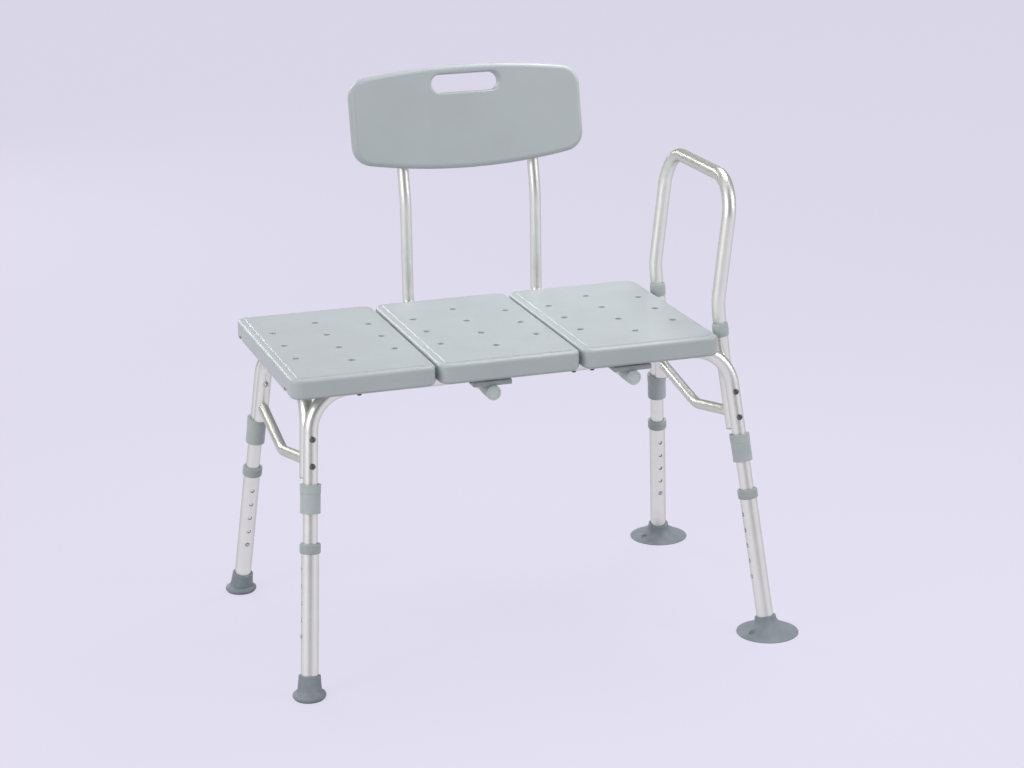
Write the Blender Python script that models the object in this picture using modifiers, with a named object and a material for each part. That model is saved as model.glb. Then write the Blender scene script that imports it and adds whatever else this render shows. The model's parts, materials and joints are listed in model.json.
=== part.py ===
"""Tub transfer bench.

Three moulded seat panels lie on a frame of aluminium tube. Four legs telescope on snap buttons, the
backrest pulls out of two cross tubes, and the arm handle lifts out of two sockets at the right end.

Metres, +Z up, +X towards the arm handle, +Y towards the backrest. Sizes are first set out from the middle
of the four feet. The finished bench is then moved so that its origin lies on the floor under the middle of
its outline.
"""

import math

import bmesh
import bpy
from mathutils import Matrix, Vector

# Clearances
TOUCH_GAP = 0.0003
SLIDE_GAP = 0.0004
HOLE_PLAY = 0.0004
CUT_PAST = 0.006

# Facets on round shapes
TUBE_SIDES = 16
SMALL_SIDES = 8
BRACE_SIDES = 12
BEND_STEPS = 5
EDGE_STEPS = 2
WELD = 1e-6

# Seat
SEAT_TOP = 0.490
PANEL_PITCH = 0.230
PANEL_WIDTH = 0.225
PANEL_DEPTH = 0.385
PANEL_THICKNESS = 0.032
PANEL_CORNER = 0.018
PANEL_TOP_EDGE = 0.008
PANEL_BOTTOM_EDGE = 0.005
SEAT_CENTRE_X = -0.0343
SEAT_CENTRE_Y = -0.0065
DRAIN_RADIUS = 0.0055
DRAIN_COLUMN = 0.078
DRAIN_ROW = 0.0758

# Legs and rails
FOOT_X = 0.3777
FOOT_Y = 0.2374
SPLAY_X = 0.0874
SPLAY_Y = 0.1854
RAIL_Z = 0.456
RAIL_BEND = 0.065
FRAME_RADIUS = 0.0111
FRAME_WALL = 0.0012
LOWER_RADIUS = 0.0127
LOWER_BORE = 0.01165
LOWER_TOP = 0.232
LOWER_END = 0.014
INNER_END = 0.078
FIRST_HOLE = 0.095
HOLE_PITCH = 0.0254
HOLE_COUNT = 5

# Plastic sleeves on the legs
SLEEVE_RADIUS = 0.0155
RING_BOTTOM = 0.2212
RING_TOP = 0.2370
COLLAR_BOTTOM = 0.2825
COLLAR_TOP = 0.3265
COLLAR_STEP = 0.3135
COLLAR_STEP_DEPTH = 0.0008

# Second tubes, beside the legs on the inner side
PAIR_SPACING = 2 * FRAME_RADIUS + TOUCH_GAP
SECOND_END_Z = 0.3235
END_FRAME_Z = 0.4465
END_FRAME_BEND = 0.060
SOCKET_BEND_Z = 0.431
SOCKET_BEND = 0.100
SOCKET_LEAN = 0.115
SOCKET_TOP = 0.4905

# Bolts through each pair of tubes, level and along Y
UPPER_BOLT_Z = 0.389
LOWER_BOLT_Z = 0.349
BOLT_RADIUS = 0.0025
BOLT_HEAD_RADIUS = 0.0048
BOLT_HEAD = 0.0028
BOLT_NUT = 0.0045
BOLT_BITE = 0.009
BOLT_POINT = 0.001

# End braces
BRACE_RADIUS = 0.0085
BRACE_END_Z = 0.3467
BRACE_MIDDLE_Z = 0.3185
BRACE_BEND = 0.035
BRACE_HOLE = 0.012
BRACE_STEPS = 12

# Feet
TIP_SLEEVE_RADIUS = 0.016
TIP_BASE_RADIUS = 0.0255
TIP_BASE_HEIGHT = 0.014
TIP_RIM = 0.0035
TIP_EDGE = 0.002
CUP_RADIUS = 0.049
CUP_HEIGHT = 0.022
CUP_RIM = 0.0018
CUP_HOLLOW_RADIUS = 0.043
CUP_HOLLOW_HEIGHT = 0.006
FOOT_TOP = 0.035

# Arm handle
HANDLE_RADIUS = 0.0095
HANDLE_WALL = 0.0012
HANDLE_END_Z = 0.4455
HANDLE_KINK_Z = 0.5245
HANDLE_TOP_Z = 0.722
HANDLE_LEAN = 0.122
HANDLE_KINK_BEND = 0.120
HANDLE_BEND = 0.048
FERRULE_RADIUS = 0.0126
FERRULE_BOTTOM = 0.4715
FERRULE_LIP = 0.0022
HANDLE_CLIP_Z = 0.4620

# Cross tubes and the backrest's bent tubes
CROSS_Z = 0.431
CROSS_X = (-0.0574, 0.1713)
CROSS_FRONT = -0.1745
CROSS_REAR = 0.188
CAP_THICKNESS = 0.0035
CAP_PLUG = 0.012
SADDLE_WIDTH = 0.062
SADDLE_LENGTH = 0.036
SADDLE_LOW_Z = 0.4413
SADDLE_HIGH_Z = 0.4493
SADDLE_FRONT_Y = -0.156
SADDLE_REAR_Y = 0.156
BACK_RADIUS = 0.0095
BACK_WALL = 0.0012
BACK_INNER_Y = 0.084
BACK_Y = 0.290
BACK_BEND = 0.040
BACK_CLIP_Y = 0.172
RECLINE_Z = 0.630
RECLINE = math.radians(12)
RECLINE_BEND = 0.150
BACK_TOP = 0.206

# Backrest panel, measured up its own slope from the recline point
BACKREST_HALF_WIDTH = 0.2010
BACKREST_CORNER = 0.022
BACKREST_BOTTOM = 0.0505
BACKREST_SAG = 0.016
BACKREST_TOP = 0.2225
BACKREST_RISE = 0.013
BACKREST_CURVE_AT = 0.180
BACKREST_THICKNESS = 0.026
BACKREST_EDGE = 0.008
GROOVE_TOP = 0.209
GRIP_WIDTH = 0.122
GRIP_HEIGHT = 0.033
GRIP_CENTRE = 0.1925
GRIP_STEPS = 6
ARCH_STEPS = 5
CORNER_STEPS = 4
SCREW_HEIGHTS = (0.090, 0.180)
SCREW_RADIUS = 0.002
SCREW_HEAD_RADIUS = 0.004
SCREW_HEAD = 0.0022
SCREW_BITE = 0.008

# Snap clips
BUTTON_RADIUS = 0.0032
BUTTON_PROUD = 0.0022
BUTTON_TAPER = 0.85
CLIP_HALF_WIDTH = 0.0028
CLIP_THICKNESS = 0.0007
CLIP_LENGTH = 0.034
CLIP_INSET = 0.0013
CLIP_TAIL = 0.0055
CLIP_FOLD = 0.25

# The floor point under the middle of the outline, from the middle of the feet
OUTLINE_CENTRE_X = (CUP_RADIUS - TIP_BASE_RADIUS) / 2
OUTLINE_REAR = BACK_Y + BACK_TOP * math.sin(RECLINE) + BACK_RADIUS * math.cos(RECLINE)
OUTLINE_CENTRE_Y = (OUTLINE_REAR - FOOT_Y - CUP_RADIUS) / 2

# Distances along a level bolt from the leg's axis. The leaning tubes stand off its head and nut.
LEAN_SCALE = math.sqrt(1 + SPLAY_Y**2)
HEAD_FACE = -FRAME_RADIUS * LEAN_SCALE - BOLT_HEAD_RADIUS * SPLAY_Y - TOUCH_GAP
PAIR_STEP = PAIR_SPACING * LEAN_SCALE
PAIR_FACE = PAIR_STEP + FRAME_RADIUS * LEAN_SCALE
NUT_FACE = PAIR_FACE + BOLT_HEAD_RADIUS * SPLAY_Y + TOUCH_GAP

# Outlines of a bolt's far end, run from its tip back to the shank
NUT_OUTLINE = [
    (0.0, NUT_FACE + BOLT_NUT),
    (BOLT_HEAD_RADIUS * 0.55, NUT_FACE + BOLT_NUT),
    (BOLT_HEAD_RADIUS, NUT_FACE + BOLT_NUT * 0.4),
    (BOLT_HEAD_RADIUS, NUT_FACE),
    (BOLT_RADIUS, NUT_FACE),
]
TIP_OUTLINE = [(0.0, PAIR_FACE + BOLT_BITE), (BOLT_RADIUS, PAIR_FACE + BOLT_BITE - BOLT_POINT)]

SIDES = {"left": -1, "right": 1}
ENDS = {"front": -1, "rear": 1}

# Colours as linear red, green, blue, then roughness and metallic
FINISHES = {
    "panel_plastic": ((0.52, 0.56, 0.58), 0.45, 0.0),
    "sleeve_plastic": ((0.37, 0.41, 0.43), 0.50, 0.0),
    "aluminium": ((0.72, 0.72, 0.70), 0.32, 1.0),
    "rubber": ((0.23, 0.26, 0.28), 0.70, 0.0),
    "spring_steel": ((0.55, 0.55, 0.54), 0.30, 1.0),
    "screw_steel": ((0.30, 0.30, 0.29), 0.35, 1.0),
}


def clear_scene():
    for obj in list(bpy.data.objects):
        bpy.data.objects.remove(obj, do_unlink=True)


def make_collection(name):
    collection = bpy.data.collections.new(name)
    bpy.context.scene.collection.children.link(collection)
    return collection


def make_finish(name):
    colour, roughness, metallic = FINISHES[name]
    material = bpy.data.materials.new(name)
    material.use_nodes = True
    shader = material.node_tree.nodes["Principled BSDF"]
    shader.inputs["Base Color"].default_value = (*colour, 1.0)
    shader.inputs["Roughness"].default_value = roughness
    shader.inputs["Metallic"].default_value = metallic
    return material


def make_empty(name, matrix, parent=None):
    empty = bpy.data.objects.new(name, None)
    empty.matrix_basis = matrix
    empty.parent = parent
    bench.objects.link(empty)
    return empty


def place(obj, parent, finish=None, matrix=None):
    """Puts an object in the bench, or with no finish among the cutters."""
    if finish:
        bench.objects.link(obj)
        obj.data.materials.append(finishes[finish])
        obj.data.shade_smooth()
        obj.data.set_sharp_from_angle(angle=math.radians(35))
    else:
        cutters.objects.link(obj)
        obj.hide_render = True
        obj.display_type = "WIRE"
    if matrix is not None:
        obj.matrix_basis = matrix
    obj.parent = parent
    return obj


def combine(obj, other, operation="DIFFERENCE"):
    modifier = obj.modifiers.new(other.name, "BOOLEAN")
    modifier.operation = operation
    modifier.object = other
    modifier.solver = "EXACT"
    return obj


def mesh_object(name, build):
    """An object whose mesh is filled by build, which is given an empty bmesh."""
    mesh = bpy.data.meshes.new(name)
    shape = bmesh.new()
    build(shape)
    bmesh.ops.recalc_face_normals(shape, faces=shape.faces)
    shape.to_mesh(mesh)
    shape.free()
    return bpy.data.objects.new(name, mesh)


def frame_between(origin, up, facing):
    """A matrix at origin whose Z runs along up and whose X is the part of facing square to it."""
    z_axis = up.normalized()
    x_axis = (facing - z_axis * facing.dot(z_axis)).normalized()
    y_axis = z_axis.cross(x_axis)
    rotation = Matrix((x_axis, y_axis, z_axis)).transposed()
    return Matrix.Translation(origin) @ rotation.to_4x4()


def rod_between(name, start, end, radius, sides=TUBE_SIDES, end_radius=None):
    """A closed cylinder, or a cone frustum where end_radius is given."""
    along = end - start
    facing = Vector((1, 0, 0)) if abs(along.normalized().x) < 0.9 else Vector((0, 0, 1))
    matrix = frame_between((start + end) / 2, along, facing)

    def build(shape):
        bmesh.ops.create_cone(
            shape,
            cap_ends=True,
            segments=sides,
            radius1=radius,
            radius2=radius if end_radius is None else end_radius,
            depth=along.length,
            matrix=matrix,
        )

    return mesh_object(name, build)


def box_between(name, low, high):
    size = high - low

    def build(shape):
        scale = Matrix.Diagonal((*size, 1.0))
        bmesh.ops.create_cube(shape, size=1.0, matrix=Matrix.Translation((low + high) / 2) @ scale)

    return mesh_object(name, build)


def rounded_path(corners, radii, steps=BEND_STEPS):
    """Points along straight runs whose inner corners are turned as arcs."""
    points = [corners[0]]
    for before, corner, after, radius in zip(corners, corners[1:], corners[2:], radii):
        into = (corner - before).normalized()
        out = (after - corner).normalized()
        turn = into.angle(out)
        start = corner - into * radius * math.tan(turn / 2)
        side = (out - into * out.dot(into)).normalized()
        count = max(2, round(steps * turn / math.radians(90)))
        for step in range(count + 1):
            angle = turn * step / count
            points.append(start + side * radius * (1 - math.cos(angle)) + into * radius * math.sin(angle))
    points.append(corners[-1])
    return points


def new_curve(name, points, dimensions, cyclic=False):
    curve = bpy.data.curves.new(name, "CURVE")
    curve.dimensions = dimensions
    spline = curve.splines.new("POLY")
    spline.use_cyclic_u = cyclic
    spline.points.add(len(points) - 1)
    for target, point in zip(spline.points, points):
        target.co = (*point, 1.0)
    return curve


def mesh_from_curve(name, curve):
    """A mesh object made from the curve, with the loose end caps welded on."""
    guide = bpy.data.objects.new(name + "_curve", curve)
    cutters.objects.link(guide)
    bpy.context.view_layer.update()
    mesh = bpy.data.meshes.new_from_object(guide.evaluated_get(bpy.context.evaluated_depsgraph_get()))
    bpy.data.objects.remove(guide, do_unlink=True)
    mesh.name = name
    shape = bmesh.new()
    shape.from_mesh(mesh)
    bmesh.ops.remove_doubles(shape, verts=shape.verts, dist=WELD)
    bmesh.ops.recalc_face_normals(shape, faces=shape.faces)
    shape.to_mesh(mesh)
    shape.free()
    return bpy.data.objects.new(name, mesh)


def bent_rod(name, points, radius, sides=TUBE_SIDES):
    curve = new_curve(name, points, "3D")
    curve.bevel_depth = radius
    curve.bevel_resolution = (sides - 4) // 2
    curve.use_fill_caps = True
    return mesh_from_curve(name, curve)


def flat_shape(name, outline, depth, edge=0.0, filled=True):
    """An outline of (x, z) points, filled and given a depth along Y. Left open, it makes a ribbon."""
    curve = new_curve(name, [(x, z, 0.0) for x, z in outline], "2D", cyclic=filled)
    curve.fill_mode = "BOTH" if filled else "NONE"
    curve.extrude = depth / 2 - edge
    curve.bevel_depth = edge
    curve.bevel_resolution = EDGE_STEPS - 1
    curve.offset = -edge
    obj = mesh_from_curve(name, curve)
    obj.data.transform(Matrix.Rotation(math.pi / 2, 4, "X"))
    return obj


def bent_tube(name, points, radius, wall, parent, finish="aluminium"):
    """A tube along points, open at both ends."""
    first = points[0] + (points[0] - points[1]).normalized() * CUT_PAST
    last = points[-1] + (points[-1] - points[-2]).normalized() * CUT_PAST
    bore = bent_rod(name + "_bore", [first, *points[1:-1], last], radius - wall)
    tube = place(bent_rod(name, points, radius), parent, finish)
    return combine(tube, place(bore, parent))


def turned(name, outline, closed=False, steps=TUBE_SIDES):
    """A shape turned about Z from (radius, height) points that run down its outer side."""
    mesh = bpy.data.meshes.new(name)
    points = [(radius, 0.0, height) for radius, height in outline]
    edges = [(i, i + 1) for i in range(len(points) - 1)]
    if closed:
        edges.append((len(points) - 1, 0))
    mesh.from_pydata(points, edges, [])
    obj = bpy.data.objects.new(name, mesh)
    screw = obj.modifiers.new("Screw", "SCREW")
    screw.axis = "Z"
    screw.angle = 2 * math.pi
    screw.steps = steps
    screw.render_steps = steps
    screw.use_merge_vertices = True
    screw.merge_threshold = WELD
    screw.use_smooth_shade = False
    return obj


def ring_outline(inner, outer, low, high):
    return [(outer, high), (outer, low), (inner, low), (inner, high)]


def leg_point(side, end, height):
    """A point on a leg's axis at a height above the floor."""
    return Vector((side * (FOOT_X - SPLAY_X * height), end * (FOOT_Y - SPLAY_Y * height), height))


def leg_up(side, end):
    return (leg_point(side, end, 1.0) - leg_point(side, end, 0.0)).normalized()


def leg_frame(side, end):
    """Z runs up the leg from the floor and X faces the way the height holes do: left on the front legs,
    forwards on the rear legs."""
    facing = Vector((-1, 0, 0)) if end < 0 else Vector((0, -1, 0))
    return frame_between(leg_point(side, end, 0), leg_up(side, end), facing)


def second_point(side, end, height):
    """A point on the axis of the second tube, which runs beside the leg on its inner side."""
    return leg_point(side, end, height) - Vector((0, end * PAIR_STEP, 0))


def add_seat_panels(base):
    for number, name in enumerate(("left", "centre", "right")):
        centre = Vector((SEAT_CENTRE_X + (number - 1) * PANEL_PITCH, SEAT_CENTRE_Y, 0))
        add_seat_panel("seat_panel_" + name, centre, base)


def add_seat_panel(name, centre, base):
    middle = SEAT_TOP - PANEL_THICKNESS / 2
    size = Vector((PANEL_WIDTH, PANEL_DEPTH, PANEL_THICKNESS))

    def build(shape):
        bmesh.ops.create_cube(shape, size=1.0, matrix=Matrix.Diagonal((*size, 1.0)))
        upright = [e for e in shape.edges if abs(e.verts[0].co.z - e.verts[1].co.z) > size.z / 2]
        bevel_edges(shape, upright, PANEL_CORNER, 4)
        for height, width, steps in (
            (size.z / 2, PANEL_TOP_EDGE, 3),
            (-size.z / 2, PANEL_BOTTOM_EDGE, 2),
        ):
            rim = [e for e in shape.edges if all(abs(v.co.z - height) < WELD for v in e.verts)]
            bevel_edges(shape, rim, width, steps)

    spot = Matrix.Translation((centre.x, centre.y, middle))
    panel = place(mesh_object(name, build), base, "panel_plastic", spot)
    drains = mesh_object(name + "_drains", lambda shape: add_drain_cutters(shape, centre))
    combine(panel, place(drains, base))
    for end_name, end in ENDS.items():
        rail_y = leg_point(1, end, RAIL_Z).y
        half = Vector((PANEL_WIDTH / 2 + CUT_PAST, 0, 0))
        on_rail = Vector((centre.x, rail_y, RAIL_Z))
        ends = (on_rail - half, on_rail + half)
        channel = rod_between(f"{name}_channel_{end_name}", *ends, FRAME_RADIUS + SLIDE_GAP)
        combine(panel, place(channel, base))
    return panel


def bevel_edges(shape, edges, width, steps):
    bmesh.ops.bevel(
        shape, geom=edges, offset=width, segments=steps, profile=0.5, affect="EDGES", clamp_overlap=True
    )


def add_drain_cutters(shape, centre):
    """Ten round drain holes in three columns: three, four and three, set half a row apart."""
    for column in (-1, 0, 1):
        rows = (-1.5, -0.5, 0.5, 1.5) if column == 0 else (-1, 0, 1)
        for row in rows:
            across = centre.x + column * DRAIN_COLUMN
            spot = Vector((across, row * DRAIN_ROW, SEAT_TOP - PANEL_THICKNESS / 2))
            bmesh.ops.create_cone(
                shape,
                cap_ends=True,
                segments=SMALL_SIDES,
                radius1=DRAIN_RADIUS,
                radius2=DRAIN_RADIUS,
                depth=PANEL_THICKNESS + 2 * CUT_PAST,
                matrix=Matrix.Translation(spot),
            )


def add_rails(base):
    """Each rail is one tube with the upper half of a leg bent down at both ends."""
    for name, end in ENDS.items():
        corners = [
            leg_point(-1, end, 0) + leg_up(-1, end) * INNER_END,
            leg_point(-1, end, RAIL_Z),
            leg_point(1, end, RAIL_Z),
            leg_point(1, end, 0) + leg_up(1, end) * INNER_END,
        ]
        path = rounded_path(corners, [RAIL_BEND] * 2)
        rail = bent_tube(name + "_rail", path, FRAME_RADIUS, FRAME_WALL, base)
        for side in SIDES.values():
            for height in (UPPER_BOLT_Z, LOWER_BOLT_Z):
                combine(rail, bolt_hole(f"{name}_rail_bolt_hole", side, end, height, base))
            matrix = leg_frame(side, end) @ Matrix.Translation((0, 0, FIRST_HOLE))
            combine(rail, button_hole(name + "_rail_button_hole", matrix, base))


def bolt_hole(name, side, end, height, base):
    """A cutter along a level bolt, long enough for both tubes and the end of a brace."""
    spot = leg_point(side, end, height)
    outer = spot + Vector((0, end * PAIR_STEP, 0))
    inner = spot - Vector((0, end * (PAIR_FACE + BRACE_HOLE), 0))
    return place(rod_between(name, outer, inner, BOLT_RADIUS + HOLE_PLAY, SMALL_SIDES), base)


def button_hole(name, matrix, parent):
    """A cutter along the X of a snap clip's matrix."""
    reach = Vector((2 * LOWER_RADIUS, 0, 0))
    hole = rod_between(name, Vector((0, 0, 0)), reach, BUTTON_RADIUS + HOLE_PLAY, SMALL_SIDES)
    return place(hole, parent, None, matrix)


def add_end_frame(base):
    """At the left end one tube makes the second tube of both legs and the bar between them."""
    corners = [
        second_point(-1, -1, SECOND_END_Z),
        second_point(-1, -1, END_FRAME_Z),
        second_point(-1, 1, END_FRAME_Z),
        second_point(-1, 1, SECOND_END_Z),
    ]
    tube = bent_tube(
        "left_end_frame", rounded_path(corners, [END_FRAME_BEND] * 2), FRAME_RADIUS, FRAME_WALL, base
    )
    for end in ENDS.values():
        for height in (UPPER_BOLT_Z, LOWER_BOLT_Z):
            combine(tube, bolt_hole("left_end_frame_bolt_hole", -1, end, height, base))


def socket_point(end, height):
    """A point on the upper run of an arm socket, which stands upright but for a lean to the left."""
    bend = second_point(1, end, SOCKET_BEND_Z)
    return Vector((bend.x - SOCKET_LEAN * (height - SOCKET_BEND_Z), bend.y, height))


def add_arm_sockets(base):
    for name, end in ENDS.items():
        corners = [
            second_point(1, end, SECOND_END_Z),
            second_point(1, end, SOCKET_BEND_Z),
            socket_point(end, SOCKET_TOP),
        ]
        tube = bent_tube(
            name + "_arm_socket", rounded_path(corners, [SOCKET_BEND]), FRAME_RADIUS, FRAME_WALL, base
        )
        for height in (UPPER_BOLT_Z, LOWER_BOLT_Z):
            combine(tube, bolt_hole(name + "_arm_socket_bolt_hole", 1, end, height, base))
        combine(tube, button_hole(name + "_arm_socket_button_hole", socket_frame(end, HANDLE_CLIP_Z), base))
        add_ferrule(name, end, base)


def socket_frame(end, height):
    up = socket_point(end, 1.0) - socket_point(end, 0.5)
    return frame_between(socket_point(end, height), up, Vector((0, -end, 0)))


def add_ferrule(name, end, base):
    """A thin plastic cap over the top of an arm socket, open for the handle."""
    height = SOCKET_TOP - FERRULE_BOTTOM
    outer = FRAME_RADIUS + SLIDE_GAP
    inner = HANDLE_RADIUS + SLIDE_GAP
    top = height + TOUCH_GAP
    outline = [
        (FERRULE_RADIUS, top + FERRULE_LIP),
        (FERRULE_RADIUS, 0.0),
        (outer, 0.0),
        (outer, top),
        (inner, top),
        (inner, top + FERRULE_LIP),
    ]
    ring = turned(name + "_arm_ferrule", outline, closed=True)
    place(ring, base, "sleeve_plastic", socket_frame(end, FERRULE_BOTTOM))


def add_bolts(base):
    """The upper bolts end in nuts, the lower ones screw into the ends of the braces."""
    for side_name, side in SIDES.items():
        for end_name, end in ENDS.items():
            name = f"frame_bolt_{end_name}_{side_name}"
            add_bolt(name + "_upper", leg_point(side, end, UPPER_BOLT_Z), end, NUT_OUTLINE, base)
            add_bolt(name + "_lower", leg_point(side, end, LOWER_BOLT_Z), end, TIP_OUTLINE, base)


def add_bolt(name, spot, end, far_end, base):
    head = [
        (BOLT_RADIUS, HEAD_FACE),
        (BOLT_HEAD_RADIUS, HEAD_FACE),
        (BOLT_HEAD_RADIUS * 0.6, HEAD_FACE - BOLT_HEAD),
        (0.0, HEAD_FACE - BOLT_HEAD),
    ]
    matrix = frame_between(spot, Vector((0, -end, 0)), Vector((0, 0, 1)))
    place(turned(name, far_end + head, steps=SMALL_SIDES), base, "screw_steel", matrix)


def add_collars(base):
    """Moulded sleeves fixed round the upper leg tubes, wider above a small step."""
    inner = FRAME_RADIUS + SLIDE_GAP
    outline = [
        (SLEEVE_RADIUS, COLLAR_TOP),
        (SLEEVE_RADIUS, COLLAR_STEP),
        (SLEEVE_RADIUS - COLLAR_STEP_DEPTH, COLLAR_STEP - COLLAR_STEP_DEPTH),
        (SLEEVE_RADIUS - COLLAR_STEP_DEPTH, COLLAR_BOTTOM),
        (inner, COLLAR_BOTTOM),
        (inner, COLLAR_TOP),
    ]
    for side_name, side in SIDES.items():
        for end_name, end in ENDS.items():
            matrix = leg_frame(side, end)
            collar = turned(f"leg_collar_{end_name}_{side_name}", outline, closed=True)
            place(collar, base, "sleeve_plastic", matrix)


def add_braces(base):
    """Each brace is a rod bent once, whose ends face the second tubes and take the lower bolts."""
    for name, side in SIDES.items():
        middle = second_point(side, 1, BRACE_MIDDLE_Z)
        middle.y = 0
        starts = []
        for end in ENDS.values():
            start = second_point(side, end, BRACE_END_Z)
            start.y -= end * (FRAME_RADIUS * LEAN_SCALE + TOUCH_GAP)
            starts.append(start)
        points = rounded_path([starts[0], middle, starts[1]], [BRACE_BEND], BRACE_STEPS)
        brace = place(bent_rod("brace_" + name, points, BRACE_RADIUS, BRACE_SIDES), base, "aluminium")
        for end_name, end in ENDS.items():
            combine(brace, bolt_hole(f"brace_hole_{end_name}_{name}", side, end, LOWER_BOLT_Z, base))


def add_lower_legs(base):
    for side_name, side in SIDES.items():
        for end_name, end in ENDS.items():
            place_name = f"{end_name}_{side_name}"
            axis = make_empty("leg_axis_" + place_name, leg_frame(side, end), base)
            add_lower_tube("lower_leg_" + place_name, axis)
            add_leg_ring("leg_ring_" + place_name, axis)
            if side < 0:
                add_rubber_tip("rubber_tip_" + place_name, axis)
            else:
                add_suction_cup("suction_cup_" + place_name, axis)
            add_snap_clip(
                "leg_clip_" + place_name,
                axis,
                Matrix.Translation((0, 0, FIRST_HOLE)),
                FRAME_RADIUS - FRAME_WALL,
                LOWER_RADIUS,
            )


def add_lower_tube(name, axis):
    tube = turned(name, ring_outline(LOWER_BORE, LOWER_RADIUS, LOWER_END, LOWER_TOP), closed=True)
    place(tube, axis, "aluminium")

    def build(shape):
        for number in range(HOLE_COUNT):
            spot = Vector((LOWER_RADIUS, 0, FIRST_HOLE + number * HOLE_PITCH))
            bmesh.ops.create_cone(
                shape,
                cap_ends=True,
                segments=SMALL_SIDES,
                radius1=BUTTON_RADIUS + HOLE_PLAY,
                radius2=BUTTON_RADIUS + HOLE_PLAY,
                depth=LOWER_RADIUS,
                matrix=Matrix.Translation(spot) @ Matrix.Rotation(math.pi / 2, 4, "Y"),
            )

    combine(tube, place(mesh_object(name + "_height_holes", build), axis))


def add_leg_ring(name, axis):
    """The plastic cap on the open top of a lower leg, which guides the upper tube."""
    outer = LOWER_RADIUS + SLIDE_GAP
    inner = FRAME_RADIUS + SLIDE_GAP
    lip = LOWER_TOP + TOUCH_GAP
    outline = [
        (SLEEVE_RADIUS, RING_TOP),
        (SLEEVE_RADIUS, RING_BOTTOM),
        (outer, RING_BOTTOM),
        (outer, lip),
        (inner, lip),
        (inner, RING_TOP),
    ]
    place(turned(name, outline, closed=True), axis, "sleeve_plastic")


def floor_frame(axis):
    """The matrix, under a leg's axis empty, that stands a shape upright on the floor."""
    return axis.matrix_basis.to_3x3().inverted().to_4x4()


def add_foot(name, axis, outline, sleeve_radius):
    """A turned base that lies flat, joined to a sleeve along the leg, with a socket for the tube."""
    foot = place(turned(name, outline), axis, "rubber", floor_frame(axis))
    sleeve_low = Vector((0, 0, LOWER_END / 2))
    sleeve = rod_between(name + "_sleeve", sleeve_low, Vector((0, 0, FOOT_TOP)), sleeve_radius)
    combine(foot, place(sleeve, axis), "UNION")
    socket_low = Vector((0, 0, LOWER_END - TOUCH_GAP))
    socket_high = Vector((0, 0, FOOT_TOP + CUT_PAST))
    socket_radius = LOWER_RADIUS + SLIDE_GAP
    combine(foot, place(rod_between(name + "_socket", socket_low, socket_high, socket_radius), axis))


def add_rubber_tip(name, axis):
    outline = [
        (0.0, TIP_BASE_HEIGHT),
        (TIP_SLEEVE_RADIUS + TIP_EDGE / 3, TIP_BASE_HEIGHT),
        (TIP_BASE_RADIUS - TIP_EDGE, TIP_RIM + TIP_EDGE),
        (TIP_BASE_RADIUS, TIP_RIM),
        (TIP_BASE_RADIUS, 0.0),
        (0.0, 0.0),
    ]
    add_foot(name, axis, outline, TIP_SLEEVE_RADIUS)


def add_suction_cup(name, axis):
    outline = [
        (0.0, CUP_HEIGHT),
        (SLEEVE_RADIUS, CUP_HEIGHT),
        (SLEEVE_RADIUS * 1.3, CUP_HEIGHT * 0.72),
        (CUP_RADIUS * 0.62, CUP_HEIGHT * 0.50),
        (CUP_RADIUS * 0.86, CUP_HEIGHT * 0.25),
        (CUP_RADIUS, CUP_RIM),
        (CUP_RADIUS, 0.0),
        (CUP_HOLLOW_RADIUS, 0.0),
        (CUP_HOLLOW_RADIUS * 0.7, CUP_HOLLOW_HEIGHT * 0.8),
        (0.0, CUP_HOLLOW_HEIGHT),
    ]
    add_foot(name, axis, outline, SLEEVE_RADIUS)


def add_snap_clip(name, parent, matrix, bore, outer_radius):
    """A bent spring strip inside a tube, with a button that stands out along its X."""
    near = bore - CLIP_INSET
    path = [
        (near, -CLIP_TAIL),
        (near, CLIP_TAIL),
        (near * CLIP_FOLD, CLIP_LENGTH),
        (-near * CLIP_FOLD, CLIP_LENGTH),
        (-near, CLIP_TAIL),
        (-near, 0.0),
    ]
    strip = flat_shape(name, path, 2 * CLIP_HALF_WIDTH, filled=False)
    clip = place(strip, parent, "spring_steel", matrix)
    wall = clip.modifiers.new("Solidify", "SOLIDIFY")
    wall.thickness = CLIP_THICKNESS
    wall.offset = 0.0
    start = Vector((near, 0, 0))
    end = Vector((outer_radius + BUTTON_PROUD, 0, 0))
    top_radius = BUTTON_RADIUS * BUTTON_TAPER
    button = rod_between(name + "_button", start, end, BUTTON_RADIUS, SMALL_SIDES, top_radius)
    combine(clip, place(button, parent, None, matrix), "UNION")


def add_arm_handle(base):
    """One bent tube whose ends slide down into the two arm sockets."""
    legs = {}
    for end in ENDS.values():
        kink = socket_point(end, HANDLE_KINK_Z)
        rise = HANDLE_TOP_Z - HANDLE_KINK_Z
        top = kink + Vector((HANDLE_LEAN * rise, 0, rise))
        legs[end] = [socket_point(end, HANDLE_END_Z), kink, top]
    corners = legs[-1] + legs[1][::-1]
    radii = [HANDLE_KINK_BEND, HANDLE_BEND, HANDLE_BEND, HANDLE_KINK_BEND]
    seat = make_empty("arm_handle_axis", socket_frame(1, SOCKET_TOP), base)
    handle = bent_tube("arm_handle", rounded_path(corners, radii), HANDLE_RADIUS, HANDLE_WALL, base)
    for name, end in ENDS.items():
        matrix = socket_frame(end, HANDLE_CLIP_Z)
        combine(handle, button_hole(name + "_handle_button_hole", matrix, base))
        local = seat.matrix_basis.inverted() @ matrix
        add_snap_clip(name + "_arm_clip", seat, local, HANDLE_RADIUS - HANDLE_WALL, FRAME_RADIUS)


def backrest_clip_frame(x):
    """Z runs forwards along a cross tube and X faces down, where the button stands out."""
    return frame_between(Vector((x, BACK_CLIP_Y, CROSS_Z)), Vector((0, -1, 0)), Vector((0, 0, -1)))


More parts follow.
